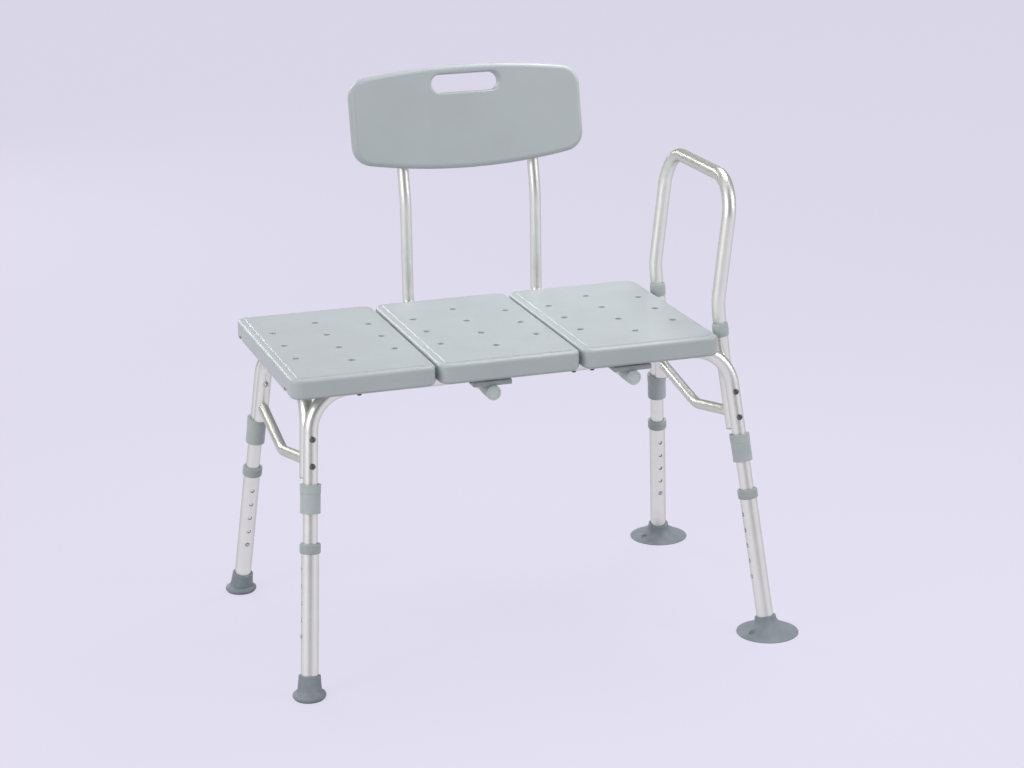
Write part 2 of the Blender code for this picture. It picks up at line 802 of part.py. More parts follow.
def add_cross_tubes(base):
    for side_name, x in zip(SIDES, CROSS_X):
        front = Vector((x, CROSS_FRONT, CROSS_Z))
        rear = Vector((x, CROSS_REAR, CROSS_Z))
        tube = bent_tube("cross_tube_" + side_name, [front, rear], FRAME_RADIUS, FRAME_WALL, base)
        hole = button_hole("cross_tube_button_hole_" + side_name, backrest_clip_frame(x), base)
        combine(tube, hole)
        add_end_cap("cross_tube_cap_" + side_name, front, base)
        for end_name, y in (("front", SADDLE_FRONT_Y), ("rear", SADDLE_REAR_Y)):
            add_saddle(f"saddle_{end_name}_{side_name}", x, y, base)


def add_end_cap(name, tube_end, base):
    """A plug with a slightly domed face, pushed into the open front of a cross tube."""
    plug = FRAME_RADIUS - FRAME_WALL - 2 * TOUCH_GAP
    outline = [
        (0.0, CAP_THICKNESS),
        (FRAME_RADIUS * 0.75, CAP_THICKNESS * 0.9),
        (FRAME_RADIUS, CAP_THICKNESS * 0.5),
        (FRAME_RADIUS, TOUCH_GAP),
        (plug, TOUCH_GAP),
        (plug, -CAP_PLUG),
        (0.0, -CAP_PLUG),
    ]
    matrix = frame_between(tube_end, Vector((0, -1, 0)), Vector((1, 0, 0)))
    place(turned(name, outline), base, "sleeve_plastic", matrix)


def add_saddle(name, x, y, base):
    """A block between a rail and a cross tube, with a groove across its top and one along its underside."""
    half = Vector((SADDLE_WIDTH / 2, SADDLE_LENGTH / 2, 0))
    low = Vector((x, y, SADDLE_LOW_Z)) - half
    high = Vector((x, y, SADDLE_HIGH_Z)) + half
    block = place(box_between(name, low, high), base, "sleeve_plastic")
    rail_spot = Vector((x, math.copysign(leg_point(1, 1, RAIL_Z).y, y), RAIL_Z))
    tube_spot = Vector((x, y, CROSS_Z))
    for groove_name, spot, along in (
        ("_rail_groove", rail_spot, Vector((SADDLE_WIDTH, 0, 0))),
        ("_tube_groove", tube_spot, Vector((0, SADDLE_LENGTH, 0))),
    ):
        groove = rod_between(name + groove_name, spot - along, spot + along, FRAME_RADIUS + SLIDE_GAP)
        combine(block, place(groove, base))


def recline_frame(x):
    """A frame at the recline point with Z up the slope and Y square out of the rear face."""
    up = Vector((0, math.sin(RECLINE), math.cos(RECLINE)))
    return frame_between(Vector((x, BACK_Y, RECLINE_Z)), up, Vector((1, 0, 0)))


def add_backrest(base):
    axis = make_empty("backrest_axis", Matrix.Translation((sum(CROSS_X) / 2, CROSS_REAR, CROSS_Z)), base)
    into_axis = axis.matrix_basis.inverted()
    panel_frame = into_axis @ recline_frame(sum(CROSS_X) / 2)
    panel = add_backrest_panel(axis, panel_frame)
    for side_name, x in zip(SIDES, CROSS_X):
        slope = recline_frame(x)
        corners = [
            Vector((x, BACK_INNER_Y, CROSS_Z)),
            Vector((x, BACK_Y, CROSS_Z)),
            Vector((x, BACK_Y, RECLINE_Z)),
            slope @ Vector((0, 0, BACK_TOP)),
        ]
        points = [into_axis @ p for p in rounded_path(corners, [BACK_BEND, RECLINE_BEND])]
        tube = bent_tube("backrest_tube_" + side_name, points, BACK_RADIUS, BACK_WALL, axis)
        clip_matrix = into_axis @ backrest_clip_frame(x)
        combine(tube, button_hole("backrest_tube_button_hole_" + side_name, clip_matrix, axis))
        back_bore = BACK_RADIUS - BACK_WALL
        add_snap_clip("backrest_clip_" + side_name, axis, clip_matrix, back_bore, FRAME_RADIUS)
        groove_low = into_axis @ slope @ Vector()
        groove_high = into_axis @ slope @ Vector((0, 0, GROOVE_TOP))
        groove_radius = BACK_RADIUS + SLIDE_GAP
        groove = rod_between("backrest_groove_" + side_name, groove_low, groove_high, groove_radius)
        combine(panel, place(groove, axis))
        for level, height in zip(("lower", "upper"), SCREW_HEIGHTS):
            screw_frame = into_axis @ slope @ Matrix.Translation((0, 0, height))
            add_backrest_screw(f"backrest_screw_{level}_{side_name}", axis, screw_frame, panel, tube)


def arched_outline():
    """The backrest's outline: sides upright, top arched, bottom sagging, corners as arcs."""
    join = BACKREST_HALF_WIDTH - BACKREST_CORNER

    def level(height, bow, u):
        return height + bow * (u / BACKREST_CURVE_AT) ** 2

    def half_edge(height, bow, turn):
        """From the middle out to the side. turn is 1 for a corner that turns up, -1 for one that turns down."""
        slope = math.atan(2 * abs(bow) * join / BACKREST_CURVE_AT**2)
        corner_start = join + BACKREST_CORNER * math.sin(slope)
        corner_middle = level(height, bow, corner_start) + turn * BACKREST_CORNER * math.cos(slope)
        run = []
        for step in range(ARCH_STEPS + 1):
            u = corner_start * step / ARCH_STEPS
            run.append((u, level(height, bow, u)))
        for step in range(1, CORNER_STEPS + 1):
            angle = slope + (math.pi / 2 - slope) * step / CORNER_STEPS
            across = join + BACKREST_CORNER * math.sin(angle)
            run.append((across, corner_middle - turn * BACKREST_CORNER * math.cos(angle)))
        return run

    bottom = half_edge(BACKREST_BOTTOM, BACKREST_SAG, 1)
    top = half_edge(BACKREST_TOP, -BACKREST_RISE, -1)
    right = bottom + top[::-1]
    left = [(-u, v) for u, v in right[::-1] if u > 0]
    return right + left


def add_backrest_panel(axis, matrix):
    """A plate with rounded edges. Its rear face passes through the axes of the two tubes."""
    middle = matrix @ Matrix.Translation((0, -BACKREST_THICKNESS / 2, 0))
    plate = flat_shape("backrest_panel", arched_outline(), BACKREST_THICKNESS, BACKREST_EDGE)
    panel = place(plate, axis, "panel_plastic", middle)
    grip = flat_shape("backrest_grip", grip_outline(), BACKREST_THICKNESS + 2 * CUT_PAST)
    return combine(panel, place(grip, axis, None, middle))


def grip_outline():
    """A slot with round ends, for a hand."""
    radius = GRIP_HEIGHT / 2
    half = GRIP_WIDTH / 2 - radius
    points = []
    for sign in (1, -1):
        for step in range(GRIP_STEPS + 1):
            angle = math.pi * (step / GRIP_STEPS - 0.5)
            across = sign * (half + radius * math.cos(angle))
            points.append((across, GRIP_CENTRE + sign * radius * math.sin(angle)))
    return points


def add_backrest_screw(name, axis, matrix, panel, tube):
    """A screw from behind the tube into the panel, with its clearance hole through both."""
    rear = BACK_RADIUS + TOUCH_GAP
    tip = -BACK_RADIUS - SLIDE_GAP - SCREW_BITE
    outline = [
        (0.0, rear + SCREW_HEAD),
        (SCREW_HEAD_RADIUS * 0.6, rear + SCREW_HEAD),
        (SCREW_HEAD_RADIUS, rear),
        (SCREW_RADIUS, rear),
        (SCREW_RADIUS, tip + SCREW_RADIUS),
        (0.0, tip),
    ]
    turn = Matrix.Rotation(-math.pi / 2, 4, "X")
    place(turned(name, outline, steps=SMALL_SIDES), axis, "screw_steel", matrix @ turn)
    start = matrix @ Vector((0, rear + CUT_PAST, 0))
    end = matrix @ Vector((0, tip - HOLE_PLAY, 0))
    hole = place(rod_between(name + "_hole", start, end, SCREW_RADIUS + HOLE_PLAY, SMALL_SIDES), axis)
    combine(panel, hole)
    combine(tube, hole)


clear_scene()
bench = make_collection("tub_transfer_bench")
cutters = make_collection("cutters")
finishes = {name: make_finish(name) for name in FINISHES}
centre_under_outline = Matrix.Translation((-OUTLINE_CENTRE_X, -OUTLINE_CENTRE_Y, 0))
bench_base = make_empty("bench_base", centre_under_outline)
add_seat_panels(bench_base)
add_rails(bench_base)
add_end_frame(bench_base)
add_arm_sockets(bench_base)
add_bolts(bench_base)
add_collars(bench_base)
add_braces(bench_base)
add_lower_legs(bench_base)
add_arm_handle(bench_base)
add_cross_tubes(bench_base)
add_backrest(bench_base)
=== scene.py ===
"""Tub transfer bench: the photographed look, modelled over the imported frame.

Metres, +Z up, +X towards the arm handle, +Y towards the backrest. The origin lies on the floor under the
middle of the bench's outline.
"""

import json
import math

import bmesh
import bpy
from bpy.props import FloatProperty, FloatVectorProperty, IntProperty, PointerProperty
from mathutils import Matrix, Vector


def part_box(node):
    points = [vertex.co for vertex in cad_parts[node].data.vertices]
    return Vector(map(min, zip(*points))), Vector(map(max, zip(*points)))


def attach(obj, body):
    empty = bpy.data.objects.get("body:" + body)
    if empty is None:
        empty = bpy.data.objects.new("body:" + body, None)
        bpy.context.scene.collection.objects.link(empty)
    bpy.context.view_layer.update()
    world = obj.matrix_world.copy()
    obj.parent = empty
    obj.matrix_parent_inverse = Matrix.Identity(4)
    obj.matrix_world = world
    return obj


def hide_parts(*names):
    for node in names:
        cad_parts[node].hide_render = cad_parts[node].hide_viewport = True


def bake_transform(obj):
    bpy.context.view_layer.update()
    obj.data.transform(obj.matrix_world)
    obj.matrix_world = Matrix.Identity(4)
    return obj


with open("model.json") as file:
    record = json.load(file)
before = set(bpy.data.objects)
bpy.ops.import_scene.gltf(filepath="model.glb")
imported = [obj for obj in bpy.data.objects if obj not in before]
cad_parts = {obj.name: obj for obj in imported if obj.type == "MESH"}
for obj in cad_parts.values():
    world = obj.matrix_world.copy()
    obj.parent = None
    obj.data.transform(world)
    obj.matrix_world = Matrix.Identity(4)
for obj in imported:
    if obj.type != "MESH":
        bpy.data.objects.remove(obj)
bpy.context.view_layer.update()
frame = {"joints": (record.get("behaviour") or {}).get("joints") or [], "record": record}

bl_info = {
    "name": "Tub transfer bench",
    "version": (1, 0, 0),
    "blender": (4, 5, 0),
    "location": "3D View > Sidebar > Bench",
    "description": "Models a tub transfer bench over its packed frame",
    "category": "Object",
}

SIDES = {"left": -1, "right": 1}
ENDS = {"front": -1, "rear": 1}
CORNERS = [
    (f"{end_name}_{side_name}", side, end)
    for end_name, end in ENDS.items()
    for side_name, side in SIDES.items()
]
RIGHTWARDS = Vector((1, 0, 0))
# The numbers of two of a point's axes
Y, Z = 1, 2

# Where the legs stand and how they lean, from the frame
mounts = {mount["name"]: Vector(mount["pos_m"]) for mount in frame["record"]["mounts"]}
slides = {joint["name"]: Vector(joint["axis"]) for joint in frame["joints"]}
foot, slide = mounts["foot_front_left"], slides["leg_front_right_extends"]
rail_low, rail_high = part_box("front_rail")
MIDDLE = Vector(((rail_low.x + rail_high.x) / 2, (rail_low.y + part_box("rear_rail")[1].y) / 2, 0))
FOOT_X = MIDDLE.x - foot.x
FOOT_Y = MIDDLE.y - foot.y
SPLAY_X = -slide.x / slide.z
SPLAY_Y = slide.y / slide.z
TILT = math.atan(math.hypot(SPLAY_X, SPLAY_Y))
# How much wider a level cut through a leg is along Y than the leg's own tube
LEG_WIDENING = math.sqrt(1 + SPLAY_Y**2)

# Gaps between pieces, how far cutters reach past them, and how close points count as one
TOUCH_GAP = 0.0003
SLIDE_GAP = 0.0004
CUT_PAST = 0.010
NEAR = 1e-5

# Facets round holes, screws, channels for tubes, and moulded rings
HOLE_FACETS = 24
SCREW_FACETS = 32
CHANNEL_FACETS = 48
RING_FACETS = 64
SMOOTH_ANGLE = math.radians(35)

# Frame tubes: heights over the floor, radii of bends, and how far the sockets lean in per height
RAIL_Z = 0.456
RAIL_BEND = 0.065
SECOND_END_Z = 0.3235
END_FRAME_Z = 0.4465
END_FRAME_BEND = 0.060
SOCKET_BEND_Z = 0.431
SOCKET_BEND = 0.100
SOCKET_LEAN = 0.115
SOCKET_TOP = 0.4905
FERRULE_BOTTOM = 0.4715
BRACE_END_Z = 0.3467
BRACE_MIDDLE_Z = 0.3185
BRACE_BEND = 0.070
CROSS_Z = 0.431

# Legs, measured up the leg from the floor: the lowest height hole, both ends of a lower leg, and the end
# of the rail's tube inside it
HOLE_COUNT = 5
FIRST_HOLE = 0.095
LOWER_END = 0.014
LOWER_TOP = 0.232
INNER_END = 0.078
# How far the middle of a snap clip's strip lies in from the bore of its tube
CLIP_INSET = 0.0013

# Arm handle: heights over the floor, bends, how far it leans out per height, and its drawn-down neck
HANDLE_END_Z = 0.4455
HANDLE_KINK_Z = 0.5245
HANDLE_TOP_Z = 0.7195
HANDLE_LEAN = 0.122
HANDLE_KINK_BEND = 0.120
HANDLE_BEND = 0.061
HANDLE_CLIP_Z = 0.4620
HANDLE_SHOULDER_Z = 0.4965
HANDLE_NECK = 0.0024

# Backrest: places along Y, bends, the height and angle at which it leans back, and lengths up the slope
BACK_CLIP_Y = MIDDLE.y + 0.172
BACK_INNER_Y = MIDDLE.y + 0.084
BACK_Y = MIDDLE.y + 0.290
BACK_BEND = 0.040
RECLINE_Z = 0.630
RECLINE = math.radians(12)
RECLINE_BEND = 0.150
BACK_TOP = 0.206
GROOVE_TOP = 0.209

# Bolts and screws: heights over the floor, places across from the middle, and heights up the backrest
UPPER_BOLT_Z = 0.389
LOWER_BOLT_Z = 0.349
LOWER_BOLT_TAIL = 0.009
BOLT_HEAD = 0.0048
PANEL_SCREWS = (-0.263, 0.081, 0.111)
SCREW_HEIGHTS = {"lower": 0.090, "upper": 0.180}

# How bright a moulding is beside the colour of its plastic. The backrest, of the seat's own plastic, is
# darkened as painted shade
RING_SHADE = 0.86
BACK_PAINTED_SHADE = 0.92
CAP_SHADE = 1.30


def describe(text, value):
    """A length property, in metres."""
    return FloatProperty(name=text, description=text, default=value, unit="LENGTH", precision=4)


def tint(text, red, green, blue):
    return FloatVectorProperty(
        name=text, description=text, default=(red, green, blue), subtype="COLOR", size=3, min=0.0, max=1.0
    )


class BenchSizes(bpy.types.PropertyGroup):
    facets: IntProperty(name="Tube facets", description="Facets round each tube", default=48, min=12, max=96)
    frame_radius: describe("Frame tube radius", 0.0111)
    frame_wall: describe("Frame tube wall", 0.0012)
    lower_radius: describe("Lower leg radius", 0.0134)
    lower_bore: describe("Lower leg bore radius", 0.01165)
    handle_radius: describe("Arm handle radius", 0.0108)
    spigot_radius: describe("Radius of the tube ends that slide into another tube", 0.0095)
    brace_radius: describe("Brace radius", 0.0085)
    hole_pitch: describe("Spacing of the height holes", 0.0254)
    button_radius: describe("Snap button radius", 0.0032)
    button_proud: describe("How far a snap button stands out of the frame", 0.0022)
    leg_button_proud: describe("How far a snap button stands out of a lower leg", 0.0015)
    sleeve_radius: describe("Radius of the plastic sleeves", 0.0160)
    panel_corner: describe("Corner radius of a seat panel", 0.018)
    panel_edge: describe("Top edge radius of a seat panel", 0.0050)
    field_margin: describe("Width of the rim round the raised field", 0.011)
    field_rise: describe("Rise of the field over the rim", 0.0014)
    drain_radius: describe("Drain hole radius", 0.0052)
    drain_column: describe("Spacing of the drain columns", 0.078)
    drain_row: describe("Spacing of the drain rows", 0.0758)
    back_thickness: describe("Backrest thickness", 0.026)
    back_edge: describe("Backrest edge radius", 0.0085)
    grip_width: describe("Hand slot width", 0.119)
    grip_height: describe("Hand slot height", 0.0298)
    grip_centre: describe("Hand slot height up the backrest", 0.1925)


class BenchColours(bpy.types.PropertyGroup):
    panel: tint("Panel plastic", 0.520, 0.565, 0.580)
    sleeve: tint("Sleeve plastic", 0.520, 0.570, 0.580)
    rubber: tint("Rubber", 0.285, 0.320, 0.362)
    aluminium: tint("Anodised aluminium", 0.900, 0.910, 0.822)
    steel: tint("Plated steel", 0.420, 0.420, 0.410)
    backdrop: tint("Floor and backdrop", 0.740, 0.715, 0.850)


# Places worked out from the layout


def raised(height):
    return Matrix.Translation((0, 0, height))


def frame_between(origin, up, facing):
    """A matrix at origin whose Z runs along up and whose X is the part of facing square to it."""
    z_axis = up.normalized()
    x_axis = (facing - z_axis * facing.dot(z_axis)).normalized()
    rotation = Matrix((x_axis, z_axis.cross(x_axis), z_axis)).transposed()
    return Matrix.Translation(origin) @ rotation.to_4x4()


def leg_point(side, end, height):
    """A point on a leg's axis at a height above the floor."""
    return MIDDLE + Vector((side * (FOOT_X - SPLAY_X * height), end * (FOOT_Y - SPLAY_Y * height), height))


def leg_up(side, end):
    return (leg_point(side, end, 1.0) - leg_point(side, end, 0.0)).normalized()


def leg_frame(side, end):
    """Z runs up the leg from the floor and X faces the way the height holes do."""
    facing = Vector((-1, 0, 0)) if end < 0 else Vector((0, -1, 0))
    return frame_between(leg_point(side, end, 0), leg_up(side, end), facing)


def leg_button_frame(side, end):
    return leg_frame(side, end) @ raised(FIRST_HOLE)


def pair_step(sizes):
    """How far apart the two tubes of a leg lie, along Y."""
    return (2 * sizes.frame_radius + TOUCH_GAP) * LEG_WIDENING


def second_point(side, end, height, sizes):
    """A point on the axis of the second tube, which runs beside the leg on its inner side."""
    return leg_point(side, end, height) - Vector((0, end * pair_step(sizes), 0))


def socket_point(end, height, sizes):
    """A point on the leaning top of an arm socket's axis, or on its line further up."""
    bend = second_point(1, end, SOCKET_BEND_Z, sizes)
    return Vector((bend.x - SOCKET_LEAN * (height - SOCKET_BEND_Z), bend.y, height))


def socket_frame(end, height, sizes):
    up = socket_point(end, 1.0, sizes) - socket_point(end, 0.5, sizes)
    return frame_between(socket_point(end, height, sizes), up, Vector((0, -end, 0)))


def cross_x(side_name):
    low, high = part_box("cross_tube_" + side_name)
    return (low.x + high.x) / 2


def recline_frame(x):
    """A frame at the recline point with Z up the slope and Y square out of the backrest's rear face."""
    up = Vector((0, math.sin(RECLINE), math.cos(RECLINE)))
    return frame_between(Vector((x, BACK_Y, RECLINE_Z)), up, RIGHTWARDS)


def back_clip_frame(x):
    return frame_between(Vector((x, BACK_CLIP_Y, CROSS_Z)), Vector((0, -1, 0)), Vector((0, 0, -1)))


# Modelling by hand


def begin():
    if bpy.context.mode != "OBJECT":
        bpy.ops.object.mode_set(mode="OBJECT")
    bpy.ops.object.select_all(action="DESELECT")


def choose(piece):
    begin()
    piece.select_set(True)
    bpy.context.view_layer.objects.active = piece


def bake_place():
    bpy.ops.object.transform_apply(location=True, rotation=True, scale=True)


def edit():
    bpy.ops.object.mode_set(mode="EDIT")
    bpy.ops.mesh.select_mode(type="VERT")
    bpy.ops.mesh.select_all(action="SELECT")


def done():
    bpy.ops.object.mode_set(mode="OBJECT")
    return bpy.context.object


def pick(test, kind="VERT"):
    """Selects the faces, edges or vertices of the edited mesh that pass a test."""
    bpy.ops.mesh.select_mode(type=kind)
    bpy.ops.mesh.select_all(action="DESELECT")
    shape = bmesh.from_edit_mesh(bpy.context.edit_object.data)
    for item in {"FACE": shape.faces, "EDGE": shape.edges, "VERT": shape.verts}[kind]:
        if test(item):
            item.select_set(True)
    shape.select_flush_mode()
    bmesh.update_edit_mesh(bpy.context.edit_object.data)


def span(edge, axis):
    """How far an edge reaches along an axis."""
    return abs(edge.verts[0].co[axis] - edge.verts[1].co[axis])


def pull(offset):
    """Extrudes the selected edges by an offset."""
    bpy.ops.mesh.extrude_edges_move(TRANSFORM_OT_translate={"value": offset})


def round_edges(test, radius, segments):
    """Rounds the edges of the edited mesh that pass a test."""
    pick(test, "EDGE")
    bpy.ops.mesh.bevel(offset=radius, segments=segments, affect="EDGES")


def tidy_normals():
    bpy.ops.mesh.select_all(action="SELECT")
    bpy.ops.mesh.remove_doubles(threshold=NEAR)
    bpy.ops.mesh.normals_make_consistent(inside=False)


def apply(piece, kind, **settings):
    """Adds a modifier to a piece and applies it."""
    choose(piece)
    modifier = piece.modifiers.new(kind.title(), kind)
    for key, value in settings.items():
        setattr(modifier, key, value)
    bpy.ops.object.modifier_apply(modifier=modifier.name)
    return piece


def soften(piece, width, segments=2, angle=35):
    """Rounds the edges of a piece that are sharper than an angle in degrees."""
    sharp = math.radians(angle)
    return apply(piece, "BEVEL", width=width, segments=segments, limit_method="ANGLE", angle_limit=sharp)


def discard(*masters):
    for master in masters:
        bpy.data.objects.remove(master, do_unlink=True)


def cut(piece, cutter):
    apply(piece, "BOOLEAN", solver="EXACT", operation="DIFFERENCE", object=cutter)
    discard(cutter)
    return piece


def join(pieces):
    choose(pieces[0])
    for piece in pieces:
        piece.select_set(True)
    bpy.ops.object.join()
    return bpy.context.object


def put(piece, matrix):
    """Sets a piece that is modelled at the origin in its place."""
    choose(piece)
    piece.matrix_world = matrix
    bake_place()
    return piece


def copy_to(master, matrix):
    """A copy of a piece modelled at the origin, with its own mesh, set in its place."""
    choose(master)
    bpy.ops.object.duplicate()
    return put(bpy.context.object, matrix)


def rod(start, end, radius, facets=HOLE_FACETS, end_radius=None):
    """A plain cylinder or cone, as a cutter or as the start of a piece."""
    begin()
    along = end - start
    bpy.ops.mesh.primitive_cone_add(
        vertices=facets,
        radius1=radius,
        radius2=radius if end_radius is None else end_radius,
        depth=along.length,
        location=(start + end) / 2,
        rotation=along.to_track_quat("Z", "Y").to_euler(),
    )
    bake_place()
    return bpy.context.object


def block(low, high):
    begin()
    bpy.ops.mesh.primitive_cube_add(size=1, location=(low + high) / 2, scale=high - low)
    bake_place()
    return bpy.context.object


def draw_line(points, closed=False):
    """Draws edges from point to point, and leaves them selected in edit mode."""
    begin()
    bpy.ops.mesh.primitive_plane_add(size=0.001)
    edit()
    bpy.ops.mesh.merge(type="CENTER")
    bpy.ops.transform.translate(value=points[0])
    for before, after in zip(points, points[1:]):
        bpy.ops.mesh.extrude_vertices_move(TRANSFORM_OT_translate={"value": after - before})
    if closed:
        ends = (points[0], points[-1])
        pick(lambda vert: min((vert.co - spot).length for spot in ends) < NEAR)
        bpy.ops.mesh.edge_face_add()
    bpy.ops.mesh.select_all(action="SELECT")


def arc(centre, radius, start, stop, steps=6):
    """Points on a round stretch of a profile, from one angle to another in degrees."""
    angles = [math.radians(start + (stop - start) * step / steps) for step in range(steps + 1)]
    return [(centre[0] + radius * math.cos(a), centre[1] + radius * math.sin(a)) for a in angles]


def turned(outline, closed=False, facets=RING_FACETS):
    """A profile of (radius, height) points, drawn point by point and spun round Z."""
    draw_line([Vector((radius, 0, height)) for radius, height in outline], closed)
    bpy.ops.mesh.spin(steps=facets, angle=2 * math.pi, center=(0, 0, 0), axis=(0, 0, 1))
    tidy_normals()
    return done()


def bent_skin(corners, bends, radius, facets):
    """A circle pushed along each straight run and spun round each bend."""
    begin()
    along = (corners[1] - corners[0]).normalized()
    bpy.ops.mesh.primitive_circle_add(
        vertices=facets, radius=radius, location=corners[0], rotation=along.to_track_quat("Z", "Y").to_euler()
    )
    bake_place()
    edit()
    spot = corners[0]
    for before, corner, after, bend in zip(corners, corners[1:], corners[2:], bends):
        into = (corner - before).normalized()
        out = (after - corner).normalized()
        turn = into.angle(out)
        reach = bend * math.tan(turn / 2)
        side = (out - into * out.dot(into)).normalized()
        start = corner - into * reach
        steps = max(3, round(math.degrees(turn) / 5))
        pull(start - spot)
        bpy.ops.mesh.spin(steps=steps, angle=-turn, center=start + side * bend, axis=into.cross(side))
        spot = corner + out * reach
        pick(lambda vert: (vert.co - spot).length < radius * 1.01)
    pull(corners[-1] - spot)
    tidy_normals()
    return done()


def button_cutter(matrix, sizes):
    """A pin for the hole of a snap button, along X of the place that it is given."""
    pin = rod(Vector(), Vector((2 * sizes.lower_radius, 0, 0)), sizes.button_radius + SLIDE_GAP)
    return put(pin, matrix)


def finish(piece, name, body, finish_name, shades=(), holder=None, across=None):
    """Names a piece, smooths it, gives it its finish, and ties it to its body or, given a holder, bakes it in
    place.

    The argument across is not used.
    """
    choose(piece)
    piece.name = name
    piece.data.name = name
    bpy.ops.object.shade_smooth_by_angle(angle=SMOOTH_ANGLE)
    apply(piece, "WEIGHTED_NORMAL", keep_sharp=True)
    piece.data.materials.clear()
    piece.data.materials.append(FINISHES[finish_name](*shades))
    if holder:
        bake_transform(piece)
    else:
        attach(piece, body)


def stand_in(piece, node, part, body, finish_name, **more):
    """Finishes a piece that takes the place of a CAD node and is named after it."""
    finish(piece, f"{node}_{part}", body, finish_name, **more)
    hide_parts(node)


def bent_tube(node, body, corners, bends, radius, button_places, sizes):
    """A tube bent at its inner corners, with a hole for each snap button."""
    tube = bent_skin(corners, bends, radius, sizes.facets)
    apply(tube, "SOLIDIFY", thickness=sizes.frame_wall, offset=-1)
    soften(tube, sizes.frame_wall * 0.3, angle=60)
    for place in button_places:
        cut(tube, button_cutter(place, sizes))
    stand_in(tube, node, "tube", body, "aluminium")


# Nodes, and the effects that the finishes share


def feed(tree, node, inputs):
    """Gives each input its value, or joins it to the output that stands for it."""
    for label, value in inputs.items():
        if isinstance(value, bpy.types.NodeSocket):
            tree.links.new(value, node.inputs[label])
        else:
            node.inputs[label].default_value = value


def add_node(tree, kind, inputs=None, **settings):
    node = tree.nodes.new("ShaderNode" + kind)
    for key, value in settings.items():
        setattr(node, key, value)
    feed(tree, node, inputs or {})
    return node


def add_math(tree, operation, *values):
    return add_node(tree, "Math", dict(enumerate(values)), operation=operation).outputs[0]


def add_mix(tree, factor, first, second, blend_type="MIX"):
    """A mix of two colours."""
    inputs = {"Factor": factor, "A": first, "B": second}
    return add_node(tree, "Mix", inputs, data_type="RGBA", blend_type=blend_type).outputs["Result"]


def add_range(tree, source, low, high, to_low=0.0, to_high=1.0):
    """A value spread from one range over another."""
    inputs = {"Value": source, "From Min": low, "From Max": high, "To Min": to_low, "To Max": to_high}
    return add_node(tree, "MapRange", inputs).outputs["Result"]


def mix_shaders(tree, factor, first, second):
    return add_node(tree, "MixShader", {"Fac": factor, 1: first, 2: second}).outputs["Shader"]


def new_group(name, inputs, outputs):
    """A node group with its sockets, the outputs of its start node, and its end node."""
    group = bpy.data.node_groups.new(name, "ShaderNodeTree")
    for in_out, sockets in (("INPUT", inputs), ("OUTPUT", outputs)):
        for label, kind in sockets.items():
            group.interface.new_socket(label, in_out=in_out, socket_type="NodeSocket" + kind)
    return group, group.nodes.new("NodeGroupInput").outputs, group.nodes.new("NodeGroupOutput")


def add_noise(tree, scale, detail, roughness=0.5):
    """Noise over the piece's own place in space."""
    place = add_node(tree, "TexCoord").outputs["Object"]
    inputs = {"Vector": place, "Scale": scale, "Detail": detail, "Roughness": roughness}
    return add_node(tree, "TexNoise", inputs).outputs["Fac"]


def mottle_group():
    """Broad clouds of a second colour, as moulded plastic and anodising have."""
    if "Mottle" in bpy.data.node_groups:
        return bpy.data.node_groups["Mottle"]
    inputs = {"Colour": "Color", "Cloud colour": "Color", "Scale": "Float", "Amount": "Float"}
    group, start, end = new_group("Mottle", inputs, {"Colour": "Color"})
    mask = add_range(group, add_noise(group, start["Scale"], 4.0), 0.35, 0.7)
    strength = add_math(group, "MULTIPLY", mask, start["Amount"])
    feed(group, end, {"Colour": add_mix(group, strength, start["Colour"], start["Cloud colour"])})
    return group


def grain_group():
    """Fine surface grain as a height for a Bump node, and a roughness that drifts about its middle."""
    if "Grain" in bpy.data.node_groups:
        return bpy.data.node_groups["Grain"]
    inputs = {"Scale": "Float", "Roughness": "Float", "Spread": "Float"}
    group, start, end = new_group("Grain", inputs, {"Height": "Float", "Roughness": "Float"})
    drift = add_range(group, add_noise(group, 45.0, 3.0), 0.3, 0.7, -1.0, 1.0)
    roughness = add_math(group, "MULTIPLY_ADD", drift, start["Spread"], start["Roughness"])
    feed(group, end, {"Height": add_noise(group, start["Scale"], 2.0, 0.6), "Roughness": roughness})
    return group


# Finishes


def solid_finish(name, colour, cloud, mottle, grain, relief, constants=None, rim=1.0):
    """A material of mottled colour, with grain in its roughness and bump.

    A rim below one darkens what is seen at a slant: painted shade along the edges of a piece.
    """
    if name in bpy.data.materials:
        return bpy.data.materials[name]
    material = bpy.data.materials.new(name)
    material.use_nodes = True
    tree = material.node_tree
    mottle = {"Colour": (*colour, 1), "Cloud colour": (*cloud, 1), **mottle}
    shown = add_node(tree, "Group", mottle, node_tree=mottle_group()).outputs["Colour"]
    if rim < 1.0:
        # Painted shade: darkens the colour where the surface is seen at a slant
        facing = add_node(tree, "LayerWeight", {"Blend": 0.5}).outputs["Facing"]
        shown = add_mix(tree, add_range(tree, facing, 0.30, 0.95), shown, (rim, rim, rim, 1), "MULTIPLY")
    texture = add_node(tree, "Group", grain, node_tree=grain_group()).outputs
    bump = add_node(tree, "Bump", {"Strength": relief, "Distance": 0.0002, "Height": texture["Height"]})
    looks = {"Base Color": shown, "Roughness": texture["Roughness"], "Normal": bump.outputs["Normal"]}
    feed(tree, tree.nodes["Principled BSDF"], looks | (constants or {}))
    return material


def shade(colour, factor):
    return [channel * factor for channel in colour]


def panel_plastic(name="moulded_panel", darkness=1.0):
    colour = shade(bpy.context.scene.bench_colours.panel, darkness)
    mottle = {"Scale": 14.0, "Amount": 0.6}
    grain = {"Scale": 1400.0, "Roughness": 0.42, "Spread": 0.05}
    return solid_finish(name, colour, shade(colour, 0.93), mottle, grain, relief=0.25)


def sleeve_plastic(name="moulded_sleeve", darkness=1.0):
    colour = shade(bpy.context.scene.bench_colours.sleeve, darkness)
    mottle = {"Scale": 60.0, "Amount": 0.6}
    grain = {"Scale": 1800.0, "Roughness": 0.5, "Spread": 0.06}
    return solid_finish(name, colour, shade(colour, 0.88), mottle, grain, relief=0.2)


